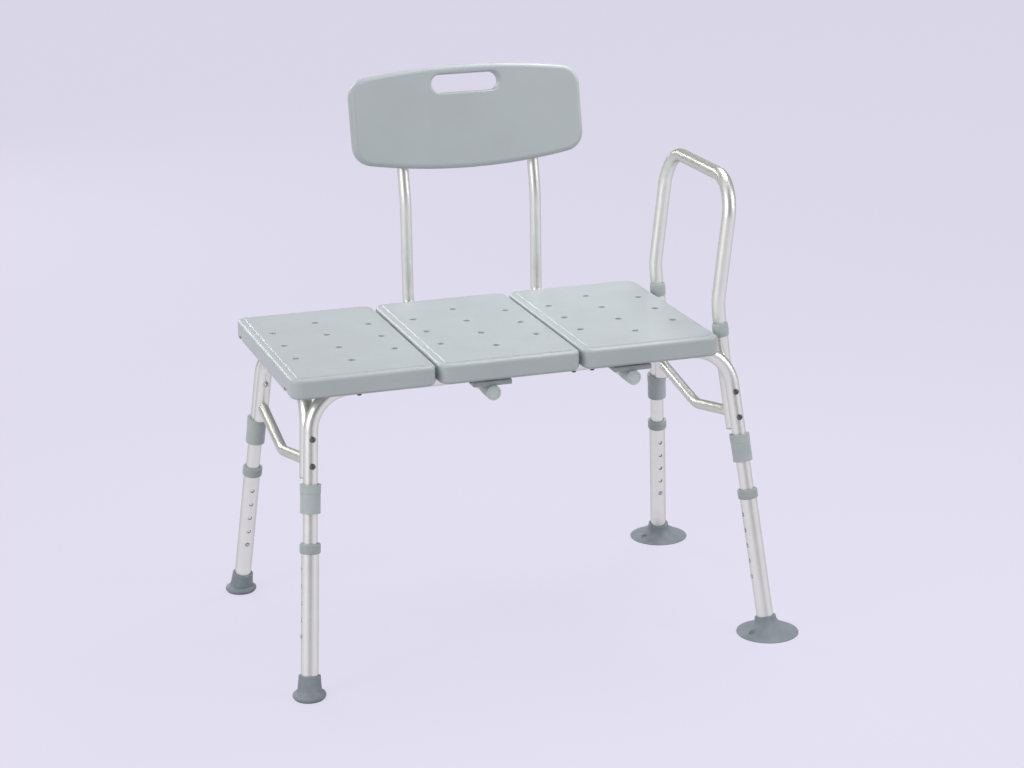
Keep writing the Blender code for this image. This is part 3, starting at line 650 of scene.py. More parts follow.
def rubber():
    colour = bpy.context.scene.bench_colours.rubber
    mottle = {"Scale": 70.0, "Amount": 0.8}
    grain = {"Scale": 1200.0, "Roughness": 0.62, "Spread": 0.08}
    return solid_finish("grey_rubber", colour, shade(colour, 0.8), mottle, grain, relief=0.35)


def aluminium():
    colour = bpy.context.scene.bench_colours.aluminium
    cloud = shade(colour, 0.94)
    mottle = {"Scale": 35.0, "Amount": 0.7}
    grain = {"Scale": 2600.0, "Roughness": 0.34, "Spread": 0.03}
    metal = {"Metallic": 0.85, "Specular Tint": (0.92, 0.95, 0.84, 1)}
    # The rim paints shade along the tubes' edges
    return solid_finish("satin_aluminium", colour, cloud, mottle, grain, 0.04, metal, rim=0.66)


def spring_steel():
    colour = bpy.context.scene.bench_colours.steel
    mottle = {"Scale": 90.0, "Amount": 0.5}
    grain = {"Scale": 2600.0, "Roughness": 0.28, "Spread": 0.05}
    return solid_finish("bright_spring", shade(colour, 1.4), colour, mottle, grain, 0.1, {"Metallic": 1.0})


def screw_steel():
    colour = shade(bpy.context.scene.bench_colours.steel, 0.45)
    cloud = shade(bpy.context.scene.bench_colours.steel, 0.25)
    mottle = {"Scale": 200.0, "Amount": 0.7}
    grain = {"Scale": 2600.0, "Roughness": 0.35, "Spread": 0.08}
    return solid_finish("dark_fastener", colour, cloud, mottle, grain, 0.15, {"Metallic": 1.0})


FINISHES = {
    "panel_plastic": panel_plastic,
    "sleeve_plastic": sleeve_plastic,
    "rubber": rubber,
    "aluminium": aluminium,
    "spring_steel": spring_steel,
    "screw_steel": screw_steel,
}


# Seat


def drain_spots(sizes):
    """Three columns of drain holes: three, four and three, set half a row apart."""
    spots = []
    for column in (-1, 0, 1):
        rows = (-1, 0, 1) if column else (-1.5, -0.5, 0.5, 1.5)
        spots += [Vector((column * sizes.drain_column, row * sizes.drain_row, 0)) for row in rows]
    return spots


def drain_cutter(low, top, sizes):
    """A pin that opens out at both faces of the panel."""
    radius = sizes.drain_radius
    lip = 0.0009
    flare = lip * 0.3
    below = [(0.0, low - CUT_PAST), (radius + lip, low - CUT_PAST), (radius + lip, low)]
    inside = [(radius, low + lip), (radius, top - lip), (radius + flare, top - flare)]
    above = [(radius + lip, top), (radius + lip, top + CUT_PAST), (0.0, top + CUT_PAST)]
    return turned(below + inside + above, facets=HOLE_FACETS)


def panel_master(size, sizes):
    """A panel about the origin of its own middle, with its top face at zero height."""
    half = size / 2
    rim_z = -sizes.field_rise
    block(Vector((-half.x, -half.y, -size.z)), Vector((half.x, half.y, rim_z)))
    edit()
    under_edge = 0.005
    round_edges(lambda edge: span(edge, Z) > NEAR, sizes.panel_corner, 10)
    round_edges(lambda edge: min(vert.co.z for vert in edge.verts) > rim_z - NEAR, sizes.panel_edge, 5)
    round_edges(lambda edge: max(vert.co.z for vert in edge.verts) < NEAR - size.z, under_edge, 4)
    pick(lambda face: face.normal.z > 0.999 and face.calc_area() > half.x * half.y, "FACE")
    bpy.ops.mesh.inset(thickness=sizes.field_margin - sizes.panel_edge, depth=0)
    bpy.ops.mesh.inset(thickness=sizes.field_rise, depth=sizes.field_rise)
    panel = done()
    pin = drain_cutter(-size.z, 0.0, sizes)
    pins = [copy_to(pin, Matrix.Translation(spot)) for spot in drain_spots(sizes)]
    discard(pin)
    return cut(panel, join(pins))


class BENCH_OT_seat(bpy.types.Operator):
    """Models the three moulded seat panels and the channels for the rails beneath them"""

    bl_idname = "bench.seat"
    bl_label = "Seat panels"

    def execute(self, context):
        sizes = context.scene.bench_sizes
        low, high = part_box("seat_panel_centre")
        middle = (low + high) / 2
        master = panel_master(high - low, sizes)
        for end in ENDS.values():
            rail_y = leg_point(1, end, RAIL_Z).y
            start = Vector((low.x - CUT_PAST, rail_y, RAIL_Z)) - Vector((middle.x, middle.y, high.z))
            length = Vector((high.x - low.x + 2 * CUT_PAST, 0, 0))
            cut(master, rod(start, start + length, sizes.frame_radius + SLIDE_GAP, CHANNEL_FACETS))
        for name in ("left", "centre", "right"):
            low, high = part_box("seat_panel_" + name)
            spot = Vector(((low.x + high.x) / 2, middle.y, high.z))
            panel = copy_to(master, Matrix.Translation(spot))
            stand_in(panel, "seat_panel_" + name, "moulding", "bench_frame", "panel_plastic")
        discard(master)
        return {"FINISHED"}


# Frame


def rail(name, end, sizes):
    """One tube with the upper half of a leg bent down at both ends."""
    corners = [
        leg_point(-1, end, 0) + leg_up(-1, end) * INNER_END,
        leg_point(-1, end, RAIL_Z),
        leg_point(1, end, RAIL_Z),
        leg_point(1, end, 0) + leg_up(1, end) * INNER_END,
    ]
    places = [leg_button_frame(side, end) for side in SIDES.values()]
    bent_tube(name + "_rail", "bench_frame", corners, [RAIL_BEND] * 2, sizes.frame_radius, places, sizes)


def end_frame(sizes):
    """The second tubes of both left legs and the bar between them, in one tube."""
    corners = [
        second_point(-1, -1, SECOND_END_Z, sizes),
        second_point(-1, -1, END_FRAME_Z, sizes),
        second_point(-1, 1, END_FRAME_Z, sizes),
        second_point(-1, 1, SECOND_END_Z, sizes),
    ]
    bends = [END_FRAME_BEND] * 2
    bent_tube("left_end_frame", "bench_frame", corners, bends, sizes.frame_radius, [], sizes)


def arm_socket(name, end, sizes):
    """The second tube of a right leg, whose top leans in to take the arm handle."""
    corners = [
        second_point(1, end, SECOND_END_Z, sizes),
        second_point(1, end, SOCKET_BEND_Z, sizes),
        socket_point(end, SOCKET_TOP, sizes),
    ]
    places = [socket_frame(end, HANDLE_CLIP_Z, sizes)]
    bent_tube(name + "_arm_socket", "bench_frame", corners, [SOCKET_BEND], sizes.frame_radius, places, sizes)


def brace(name, side, sizes):
    """A rod bent once, its rims rounded where it meets the pairs of tubes."""
    stand_off = sizes.frame_radius * LEG_WIDENING + TOUCH_GAP
    ends = []
    for end in ENDS.values():
        start = second_point(side, end, BRACE_END_Z, sizes)
        start.y -= end * stand_off
        ends.append(start)
    middle = second_point(side, 1, BRACE_MIDDLE_Z, sizes)
    middle.y = MIDDLE.y
    bent_skin([ends[0], middle, ends[1]], [BRACE_BEND], sizes.brace_radius, sizes.facets)
    edit()
    for spot in ends:
        pick(lambda vert: (vert.co - spot).length < sizes.brace_radius * 1.01)
        bpy.ops.mesh.edge_face_add()
    tidy_normals()
    piece = soften(done(), 0.0012, segments=3, angle=60)
    stand_in(piece, "brace_" + name, "rod", "bench_frame", "aluminium")


def cross_tube(name, sizes):
    """A straight tube under the seat that takes one of the backrest's tubes."""
    low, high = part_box("cross_tube_" + name)
    x = cross_x(name)
    ends = [Vector((x, low.y, CROSS_Z)), Vector((x, high.y, CROSS_Z))]
    places = [back_clip_frame(x)]
    bent_tube("cross_tube_" + name, "bench_frame", ends, [], sizes.frame_radius, places, sizes)


class BENCH_OT_frame(bpy.types.Operator):
    """Models the rails, the end frame, the arm sockets, the braces and the cross tubes"""

    bl_idname = "bench.frame"
    bl_label = "Frame tubes"

    def execute(self, context):
        sizes = context.scene.bench_sizes
        for name, end in ENDS.items():
            rail(name, end, sizes)
            arm_socket(name, end, sizes)
        end_frame(sizes)
        for name, side in SIDES.items():
            brace(name, side, sizes)
            cross_tube(name, sizes)
        return {"FINISHED"}


# Lower legs and feet


def lower_leg_master(sizes):
    """The lower leg upright at the origin, with its height holes facing X."""
    outer, inner = sizes.lower_radius, sizes.lower_bore
    outline = [(outer, LOWER_TOP), (outer, LOWER_END), (inner, LOWER_END), (inner, LOWER_TOP)]
    tube = turned(outline, closed=True, facets=sizes.facets)
    for number in range(HOLE_COUNT):
        cut(tube, button_cutter(raised(FIRST_HOLE + number * sizes.hole_pitch), sizes))
    return soften(tube, 0.00025, angle=50)


def ring_master(sizes):
    """The plastic cap on the open top of a lower leg, a band with a bulging side."""
    low, top = 0.2212, 0.2370
    bulge = 0.0026
    outer = sizes.sleeve_radius
    inner = sizes.frame_radius + SLIDE_GAP
    cup = sizes.lower_radius + SLIDE_GAP
    lip = LOWER_TOP + TOUCH_GAP
    upper = arc((outer - bulge, top - bulge), bulge, 90, 0)
    lower = arc((outer - bulge, low + bulge), bulge, 0, -80)
    return turned([(inner, top), *upper, *lower, (cup, low), (cup, lip), (inner, lip)], closed=True)


def lean(foot, levels):
    """Tips what is above each level towards X, about the point on the floor that the leg aims at."""
    choose(foot)
    above = [{vert.index for vert in foot.data.vertices if vert.co.z > level - NEAR} for level in levels]
    edit()
    for members in above:
        pick(lambda vert: vert.index in members)
        bpy.ops.transform.rotate(
            value=-TILT / len(levels), orient_axis="Y", orient_type="GLOBAL", center_override=(0, 0, 0)
        )
    return done()


def foot_place(side, end):
    """Turns a foot so that its X faces the way its leg leans."""
    up = leg_up(side, end)
    return Matrix.Translation(leg_point(side, end, 0)) @ Matrix.Rotation(math.atan2(up.y, up.x), 4, "Z")


def tip_master(sizes):
    """A rubber tip: a tapering neck on a thick round flange."""
    bore = sizes.lower_radius + SLIDE_GAP
    step, neck_start = 0.0108, 0.0118
    flange = [(0.0, 0.0), (0.0230, 0.0), *arc((0.0213, 0.0048), 0.0044, -65, 62, 8), (0.0212, 0.0100)]
    neck = [(0.0196, step), (0.0188, neck_start), (0.0181, 0.0190), (0.0172, 0.0290)]
    mouth = [*arc((0.0156, 0.0336), 0.0014, 0, 90, 4), (bore, 0.0350), (bore, 0.0200), (0.0, 0.0200)]
    return lean(turned(flange + neck + mouth), [step, neck_start])


def cup_master(sizes):
    """A suction cup: a short neck on a cone that thins to its rim, hollow beneath."""
    bore = sizes.lower_radius + SLIDE_GAP
    levels = (0.0104, 0.0132, 0.0158, 0.0190)
    hollow = [(0.0, 0.0060), (0.0300, 0.0046), (0.0430, 0.0), (0.0490, 0.0)]
    rim = [*arc((0.0488, 0.0010), 0.0010, -60, 70, 4), (0.0450, 0.0036), (0.0380, 0.0070)]
    cone = list(zip((0.0300, 0.0240, 0.0205, 0.0184), levels))
    neck = [(0.0174, 0.0226), *arc((0.0156, 0.0262), 0.0014, 0, 90, 4)]
    mouth = [(bore, 0.0276), (bore, 0.0180), (0.0, 0.0180)]
    return lean(turned(hollow + rim + cone + neck + mouth), levels)


def press_mark(cup, spot):
    """The round pocket in a cup's upper face."""
    floor = spot + Vector((-0.0325, -0.0125, 0.0050))
    depth = Vector((0, 0, 0.008))
    floor_radius, mouth_radius = 0.0048, 0.0072
    return cut(cup, rod(floor, floor + depth, floor_radius, end_radius=mouth_radius))


class BENCH_OT_legs(bpy.types.Operator):
    """Models the telescoping lower legs with their rings and feet"""

    bl_idname = "bench.legs"
    bl_label = "Lower legs and feet"

    def execute(self, context):
        sizes = context.scene.bench_sizes
        tube, ring = lower_leg_master(sizes), ring_master(sizes)
        tip, cup = tip_master(sizes), cup_master(sizes)
        shades = ("moulded_ring", RING_SHADE)
        for corner, side, end in CORNERS:
            body = "leg_" + corner
            upright = leg_frame(side, end)
            stand_in(copy_to(tube, upright), "lower_leg_" + corner, "tube", body, "aluminium")
            band = copy_to(ring, upright)
            stand_in(band, "leg_ring_" + corner, "band", body, "sleeve_plastic", shades=shades)
            kind = "rubber_tip_" if side < 0 else "suction_cup_"
            foot = copy_to(tip if side < 0 else cup, foot_place(side, end))
            if side > 0:
                press_mark(foot, leg_point(side, end, 0))
            stand_in(foot, kind + corner, "moulding", body, "rubber")
        discard(tube, ring, tip, cup)
        return {"FINISHED"}


# Sleeves, caps and saddles


def collar_master(sizes):
    """The sleeve that guides a leg where it leaves the pair of upper tubes, wider above its step."""
    low, step, top = 0.2825, 0.3135, 0.3265
    inner = sizes.frame_radius + SLIDE_GAP
    outer = sizes.sleeve_radius
    slim = outer - 0.0005
    outline = [(outer, top), (outer, step), (slim, step - 0.0003), (slim, low), (inner, low), (inner, top)]
    return soften(turned(outline, closed=True), 0.0006)


def ferrule_master(sizes):
    """The bulging collar on the top of an arm socket."""
    height = SOCKET_TOP - FERRULE_BOTTOM
    outer = 0.0126
    cup = sizes.frame_radius + SLIDE_GAP
    inner = sizes.spigot_radius + SLIDE_GAP
    under = height + TOUCH_GAP
    top = under + 0.0022
    crown = [(inner, top), (outer - 0.0012, top), (outer - 0.0003, under + 0.0012), (outer, under - 0.0010)]
    belly = [(outer + 0.0005, height * 0.62), (outer + 0.0003, height * 0.38)]
    mouth = [(outer - 0.0002, height * 0.10), (outer - 0.0008, 0.0), (cup, 0.0), (cup, under), (inner, under)]
    return soften(turned(crown + belly + mouth, closed=True), 0.0004)


def cap_master(sizes):
    """A cup over the front of a cross tube, with a domed face and a groove behind it."""
    face = 0.0044
    corner = 0.0011
    skirt_end = -0.030
    outer = sizes.frame_radius + 0.0006
    inner = sizes.frame_radius + TOUCH_GAP
    neck = outer - 0.0018
    dome = [(0.0, face), (outer * 0.66, face * 0.97)]
    furrow = [(outer * 0.70, face * 0.78), (outer * 0.76, face * 0.78), (outer * 0.80, face * 0.90)]
    rim = arc((outer - corner, face * 0.94 - corner), corner, 80, 0)
    groove = [(outer, face * 0.52), (neck, face * 0.50), (neck, face * 0.24), (outer, face * 0.20)]
    skirt = [(outer, skirt_end), (inner, skirt_end), (inner, TOUCH_GAP), (0.0, TOUCH_GAP)]
    return turned(dome + furrow + rim + groove + skirt)


def saddle_master(size, drop, sizes):
    """A plate about its own middle, hollowed above for the rail and below for the cross tube."""
    plate = soften(block(-size / 2, size / 2), 0.0016, segments=3)
    along = Vector((size.x, 0, 0))
    rail_at = Vector((0, 0, drop + RAIL_Z - CROSS_Z))
    cut(plate, rod(rail_at - along, rail_at + along, sizes.frame_radius + SLIDE_GAP, CHANNEL_FACETS))
    across = Vector((0, size.y, 0))
    tube_at = Vector((0, 0, drop))
    radius = sizes.frame_radius + 2 * SLIDE_GAP
    return cut(plate, rod(tube_at - across, tube_at + across, radius, CHANNEL_FACETS))


class BENCH_OT_sleeves(bpy.types.Operator):
    """Models the leg collars, arm ferrules, tube caps and saddles"""

    bl_idname = "bench.sleeves"
    bl_label = "Sleeves, caps and saddles"

    def execute(self, context):
        sizes = context.scene.bench_sizes
        collar, ferrule, cap = collar_master(sizes), ferrule_master(sizes), cap_master(sizes)
        for corner, side, end in CORNERS:
            piece = copy_to(collar, leg_frame(side, end))
            stand_in(piece, "leg_collar_" + corner, "sleeve", "bench_frame", "sleeve_plastic")
        for name, end in ENDS.items():
            piece = copy_to(ferrule, socket_frame(end, FERRULE_BOTTOM, sizes))
            stand_in(piece, name + "_arm_ferrule", "ring", "bench_frame", "sleeve_plastic")
        shades = ("moulded_cap", CAP_SHADE)
        for name in SIDES:
            spot = Vector((cross_x(name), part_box("cross_tube_" + name)[0].y, CROSS_Z))
            piece = copy_to(cap, frame_between(spot, Vector((0, -1, 0)), RIGHTWARDS))
            node = "cross_tube_cap_" + name
            stand_in(piece, node, "cup", "bench_frame", "sleeve_plastic", shades=shades)
        low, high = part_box("saddle_front_left")
        saddle = saddle_master(high - low, CROSS_Z - (low.z + high.z) / 2, sizes)
        for end_name in ENDS:
            for side_name in SIDES:
                node = f"saddle_{end_name}_{side_name}"
                low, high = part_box(node)
                piece = copy_to(saddle, Matrix.Translation((low + high) / 2))
                stand_in(piece, node, "plate", "bench_frame", "sleeve_plastic")
        discard(collar, ferrule, cap, saddle)
        return {"FINISHED"}


# Bolts and screws


def recessed_head(outline):
    """A turned screw whose head, at the outline's last point, takes a hexagon key."""
    top = Vector((0, 0, outline[-1][1]))
    screw = turned(outline, facets=SCREW_FACETS)
    key = rod(top - Vector((0, 0, 0.0014)), top + Vector((0, 0, 0.002)), 0.0017, facets=6)
    return soften(cut(screw, key), 0.00015, angle=50)


def bolt_master(length):
    """A bolt whose shank runs up Z from its domed head."""
    shank, dome = 0.0025, 0.0025
    outline = [(0.0, -length), (shank, -length), (shank, 0.0), (BOLT_HEAD, 0.0)]
    outline += [*arc((BOLT_HEAD - dome, 0.0), dome, 0, 80, 5), (0.0, 0.0027)]
    return put(recessed_head(outline), Matrix.Rotation(math.pi, 4, "X"))


def nut_master():
    """An acorn nut: a bevelled hexagon under a dome."""
    begin()
    bpy.ops.mesh.primitive_cylinder_add(vertices=6, radius=0.0050, depth=0.0026, location=(0, 0, 0.0013))
    bake_place()
    flats = soften(bpy.context.object, 0.0005)
    outline = [(0.0, 0.0001), (0.0040, 0.0001), *arc((0.0, 0.0012), 0.0038, 20, 90, 8)]
    return join([flats, turned(outline, facets=SCREW_FACETS)])


def frame_bolts(sizes):
    """An upper and a lower bolt through each pair of tubes, the upper one with a nut of its own."""
    half_tube = sizes.frame_radius * LEG_WIDENING
    lift = BOLT_HEAD * SPLAY_Y + TOUCH_GAP
    head_face = half_tube + lift
    inner_face = pair_step(sizes) + half_tube
    nut_face = inner_face + lift
    nut = nut_master()
    rows = (("upper", UPPER_BOLT_Z, nut_face), ("lower", LOWER_BOLT_Z, inner_face + LOWER_BOLT_TAIL))
    for level, height, reach in rows:
        bolt = bolt_master(head_face + reach)
        for corner, side, end in CORNERS:
            inward = Vector((0, -end, 0))
            spot = leg_point(side, end, height) - inward * head_face
            piece = copy_to(bolt, frame_between(spot, inward, RIGHTWARDS))
            node = f"frame_bolt_{corner}_{level}"
            stand_in(piece, node, "steel", "bench_frame", "screw_steel")
            if level == "upper":
                seat = spot + inward * (head_face + nut_face)
                piece = copy_to(nut, frame_between(seat, inward, RIGHTWARDS))
                finish(piece, node + "_nut", "bench_frame", "spring_steel")
        discard(bolt)
    discard(nut)


def backrest_screws(sizes):
    """Two screws from behind through each backrest tube into the panel."""
    rear = sizes.spigot_radius + TOUCH_GAP
    tip = -sizes.spigot_radius - SLIDE_GAP - 0.008
    shank, head, dome = 0.0020, 0.0040, 0.0020
    outline = [(0.0, tip), (shank, tip + shank), (shank, rear), (head, rear)]
    outline += [*arc((0.0021, rear), dome, 0, 80, 5), (0.0, rear + 0.0022)]
    screw = recessed_head(outline)
    for name in SIDES:
        for level, height in SCREW_HEIGHTS.items():
            slope = recline_frame(cross_x(name)) @ raised(height)
            piece = copy_to(screw, slope @ Matrix.Rotation(-math.pi / 2, 4, "X"))
            stand_in(piece, f"backrest_screw_{level}_{name}", "steel", "backrest", "screw_steel")
    discard(screw)


def panel_screws(sizes):
    """Screws up through the rails into the panels, of which only the heads show."""
    shank, head, under = 0.0018, 0.0040, -sizes.frame_radius
    outline = [(0.0, 0.0), (shank, 0.0), (shank, under), (head, under), (head, under - 0.0008)]
    outline += [(0.0026, under - 0.0022), (0.0, under - 0.0024)]
    screw = soften(turned(outline, facets=SCREW_FACETS), 0.0002)
    for name, end in ENDS.items():
        for number, across in enumerate(PANEL_SCREWS):
            spot = Vector((MIDDLE.x + across, leg_point(1, end, RAIL_Z).y, RAIL_Z))
            piece = copy_to(screw, Matrix.Translation(spot))
            finish(piece, f"panel_screw_{name}_{number + 1}", "bench_frame", "screw_steel")
    discard(screw)


class BENCH_OT_fasteners(bpy.types.Operator):
    """Models the frame bolts with their upper nuts, the backrest screws and the panel screws"""

    bl_idname = "bench.fasteners"
    bl_label = "Bolts and screws"

    def execute(self, context):
        for model in (frame_bolts, backrest_screws, panel_screws):
            model(context.scene.bench_sizes)
        return {"FINISHED"}


# Snap buttons and tube plugs


def clip_master(bore, tip, sizes):
    """A bent spring strip inside a tube, with a domed button whose tip lies out along X."""
    near = bore - CLIP_INSET
    half, tail, length, fold = 0.0028, 0.0055, 0.034, near * 0.25
    button_leg = [(near, -tail), (near, tail), (fold, length)]
    far_leg = [(-fold, length), (-near, tail), (-near, 0.0)]
    draw_line([Vector((across, -half, along)) for across, along in button_leg + far_leg])
    pull((0, 2 * half, 0))
    round_edges(lambda edge: span(edge, Y) > half and len(edge.link_faces) == 2, 0.0012, segments=4)
    strip = apply(done(), "SOLIDIFY", thickness=0.0007, offset=0.0)
    radius = sizes.button_radius
    dome = radius * 0.55
    outline = [(0.0, near), (radius, near), (radius, tip - dome)]
    outline += [*arc((radius * 0.42, tip - dome), dome, 10, 80, 5), (0.0, tip)]
    button = put(turned(outline, facets=SCREW_FACETS), Matrix.Rotation(math.pi / 2, 4, "Y"))
    return join([strip, button])


def set_clip(clip, place, bore, node, body, holder):
    """Sets a copy of a clip in its place, standing in for a CAD node."""
    near = bore - CLIP_INSET
    across = [place @ Vector((x, 0, 0)) for x in (-near, near)]
    stand_in(copy_to(clip, place), node, "spring", body, "spring_steel", holder=holder, across=across)


class BENCH_OT_buttons(bpy.types.Operator):
    """Models the spring clips whose buttons lock the legs, the arm handle and the backrest"""

    bl_idname = "bench.buttons"
    bl_label = "Snap buttons"

    def execute(self, context):
        sizes = context.scene.bench_sizes
        bore = sizes.frame_radius - sizes.frame_wall
        clip = clip_master(bore, sizes.lower_radius + sizes.leg_button_proud, sizes)
        for corner, side, end in CORNERS:
            node, body = "leg_clip_" + corner, "leg_button_" + corner
            set_clip(clip, leg_button_frame(side, end), bore, node, body, "bench_frame")
        discard(clip)
        bore = sizes.spigot_radius - sizes.frame_wall
        clip = clip_master(bore, sizes.frame_radius + sizes.button_proud, sizes)
        for name, end in ENDS.items():
            place = socket_frame(end, HANDLE_CLIP_Z, sizes)
            set_clip(clip, place, bore, name + "_arm_clip", "arm_button_" + name, "arm")
        for name in SIDES:
            place = back_clip_frame(cross_x(name))
            set_clip(clip, place, bore, "backrest_clip_" + name, "backrest_button_" + name, "backrest")
        discard(clip)
        return {"FINISHED"}


class BENCH_OT_plugs(bpy.types.Operator):
    """Models the plugs that close the open lower ends of the second tubes"""

    bl_idname = "bench.plugs"
    bl_label = "Tube plugs"

    def execute(self, context):
        sizes = context.scene.bench_sizes
        outer = sizes.frame_radius
        inner = outer - sizes.frame_wall - TOUCH_GAP
        dome = [(0.0, -0.0022), (outer * 0.6, -0.0020), *arc((outer - 0.0012, -0.0006), 0.0011, -80, 0, 4)]
        stem = [(outer - 0.0001, -TOUCH_GAP), (inner, -TOUCH_GAP), (inner, 0.009), (0.0, 0.009)]
        plug = turned(dome + stem)
        for corner, side, end in CORNERS:
            spot = second_point(side, end, SECOND_END_Z, sizes)
            piece = copy_to(plug, frame_between(spot, leg_up(side, end), RIGHTWARDS))
            finish(piece, f"tube_plug_{corner}", "bench_frame", "sleeve_plastic")
        discard(plug)
        return {"FINISHED"}


# Arm handle


def swage(spot, along, share, reach, radius):
    """Draws the open end of the edited tube down to a share of its radius, then on for its reach."""
    pick(lambda vert: (vert.co - spot).length < radius * 1.01)
    for factor in ((1 + share) / 2, 2 * share / (1 + share)):
        pull(along * (HANDLE_NECK / 2))
        spot = spot + along * (HANDLE_NECK / 2)
        bpy.ops.transform.resize(value=(factor, factor, factor), center_override=spot)
    pull(along * reach)


class BENCH_OT_arm(bpy.types.Operator):
    """Models the lift-out arm handle, whose ends are drawn down to enter the sockets"""

    bl_idname = "bench.arm"
    bl_label = "Arm handle"

    def execute(self, context):
        sizes = context.scene.bench_sizes
        rise = HANDLE_TOP_Z - HANDLE_KINK_Z
        legs = []
        for end in ENDS.values():
            kink = socket_point(end, HANDLE_KINK_Z, sizes)
            top = kink + Vector((HANDLE_LEAN * rise, 0, rise))
            legs.append([socket_point(end, HANDLE_SHOULDER_Z, sizes), kink, top])
        bends = [HANDLE_KINK_BEND, HANDLE_BEND, HANDLE_BEND, HANDLE_KINK_BEND]
        choose(bent_skin(legs[0] + legs[1][::-1], bends, sizes.handle_radius, sizes.facets))
        edit()
        share = sizes.spigot_radius / sizes.handle_radius
        for end, leg in zip(ENDS.values(), legs):
            drop = socket_point(end, HANDLE_END_Z, sizes) - leg[0]
            swage(leg[0], drop.normalized(), share, drop.length - HANDLE_NECK, sizes.handle_radius)
        tidy_normals()
        tube = apply(done(), "SOLIDIFY", thickness=sizes.frame_wall, offset=-1)
        for end in ENDS.values():
            cut(tube, button_cutter(socket_frame(end, HANDLE_CLIP_Z, sizes), sizes))
        stand_in(tube, "arm_handle", "tube", "arm", "aluminium")
        return {"FINISHED"}


# Backrest


def backrest_outline():
    """Sides upright, top arched, bottom sagging, corners as arcs, as (across, up) points."""
    corner = 0.034
    flat = 0.2010 - corner
    bottom, sag = 0.0505, 0.016
    top, rise = 0.2225, 0.013
    curve_at = 0.180
    edge_steps, corner_steps = 12, 8

    def half_edge(height, bow, turn):
        slope = math.atan(2 * abs(bow) * flat / curve_at**2)
        corner_start = flat + corner * math.sin(slope)
        middle = height + bow * (corner_start / curve_at) ** 2 + turn * corner * math.cos(slope)
        run = []
        for step in range(edge_steps + 1):
            across = corner_start * step / edge_steps
            run.append((across, height + bow * (across / curve_at) ** 2))
        for step in range(1, corner_steps + 1):
            angle = slope + (math.pi / 2 - slope) * step / corner_steps
            run.append((flat + corner * math.sin(angle), middle - turn * corner * math.cos(angle)))
        return run

    right = half_edge(bottom, sag, 1) + half_edge(top, -rise, -1)[::-1]
    left = [(-across, up) for across, up in right[::-1] if across > 0]
    return right + left


def backrest_plate(sizes):
    """A plate drawn as an outline, pushed back to its thickness, with rounded rims."""
    draw_line([Vector((across, -sizes.back_thickness, up)) for across, up in backrest_outline()])
    bpy.ops.mesh.edge_face_add()
    bpy.ops.mesh.extrude_region_move(TRANSFORM_OT_translate={"value": (0, sizes.back_thickness, 0)})
    tidy_normals()
    round_edges(lambda edge: span(edge, Y) < NEAR, sizes.back_edge, segments=6)
    return done()


def cut_hand_slot(plate, sizes):
    """Cuts the hand slot and rounds its rims."""
    half = Vector((sizes.grip_width / 2, 0, sizes.grip_height / 2))
    centre = Vector((0, 0, sizes.grip_centre))
    through = Vector((0, 0.05, 0))
    block(centre - half - through, centre + half + through)
    edit()
    round_edges(lambda edge: span(edge, Y) > NEAR, sizes.grip_height * 0.499, segments=12)
    cut(plate, done())

    def on_rim(edge):
        offsets = [vert.co - centre for vert in edge.verts]
        inside = all(abs(offset.x) < half.x + NEAR and abs(offset.z) < half.z + NEAR for offset in offsets)
        return inside and span(edge, Y) < NEAR

    choose(plate)
    edit()
    round_edges(on_rim, 0.0045, segments=4)
    return done()


def backrest_panel(sizes):
    """The backrest's panel, grooved for its two tubes and with a hand slot."""
    left, right = cross_x("left"), cross_x("right")
    plate = backrest_plate(sizes)
    for side in SIDES.values():
        foot = Vector((side * (right - left) / 2, 0, 0))
        top = foot + Vector((0, 0, GROOVE_TOP))
        cut(plate, rod(foot, top, sizes.spigot_radius + SLIDE_GAP, CHANNEL_FACETS))
    plate = put(cut_hand_slot(plate, sizes), recline_frame((left + right) / 2))
    # The backrest's darker plastic is painted shade
    shades = ("moulded_back_painted_shade", BACK_PAINTED_SHADE)
    stand_in(plate, "backrest_panel", "moulding", "backrest", "panel_plastic", shades=shades)


def backrest_tube(name, sizes):
    """A tube that comes forward into a cross tube and runs up behind the panel."""
    x = cross_x(name)
    corners = [
        Vector((x, BACK_INNER_Y, CROSS_Z)),
        Vector((x, BACK_Y, CROSS_Z)),
        Vector((x, BACK_Y, RECLINE_Z)),
        recline_frame(x) @ Vector((0, 0, BACK_TOP)),
    ]
    bends, places = [BACK_BEND, RECLINE_BEND], [back_clip_frame(x)]
    bent_tube("backrest_tube_" + name, "backrest", corners, bends, sizes.spigot_radius, places, sizes)


class BENCH_OT_backrest(bpy.types.Operator):
    """Models the backrest panel and its two bent tubes"""

    bl_idname = "bench.backrest"
    bl_label = "Backrest"

    def execute(self, context):
        sizes = context.scene.bench_sizes
        backrest_panel(sizes)
        for name in SIDES:
            backrest_tube(name, sizes)
        return {"FINISHED"}


# Stage

# The camera, solved from the photograph
CAMERA_SPOT = Vector((-1.19565, -3.72406, 1.5598))
CAMERA_YAW = math.radians(18.182)
CAMERA_PITCH = math.radians(16.791)
CAMERA_ROLL = math.radians(-0.7906)
CAMERA_LENS = 88.98
CAMERA_LEVEL = Vector((math.cos(CAMERA_YAW), -math.sin(CAMERA_YAW), 0))

# The floor: its width and place, its colour in bounced light, how much of its look is its own glow, and
# the painted light that makes its front paler
FLOOR_WIDTH = 60
FLOOR_MIDDLE = (0, 10, 0)
FLOOR_BOUNCE = 0.42
FLOOR_GLOW = 0.85
FLOOR_FADE = (-1.0, 1.6)
FLOOR_NEAR_PAINTED_LIGHT = 1.06

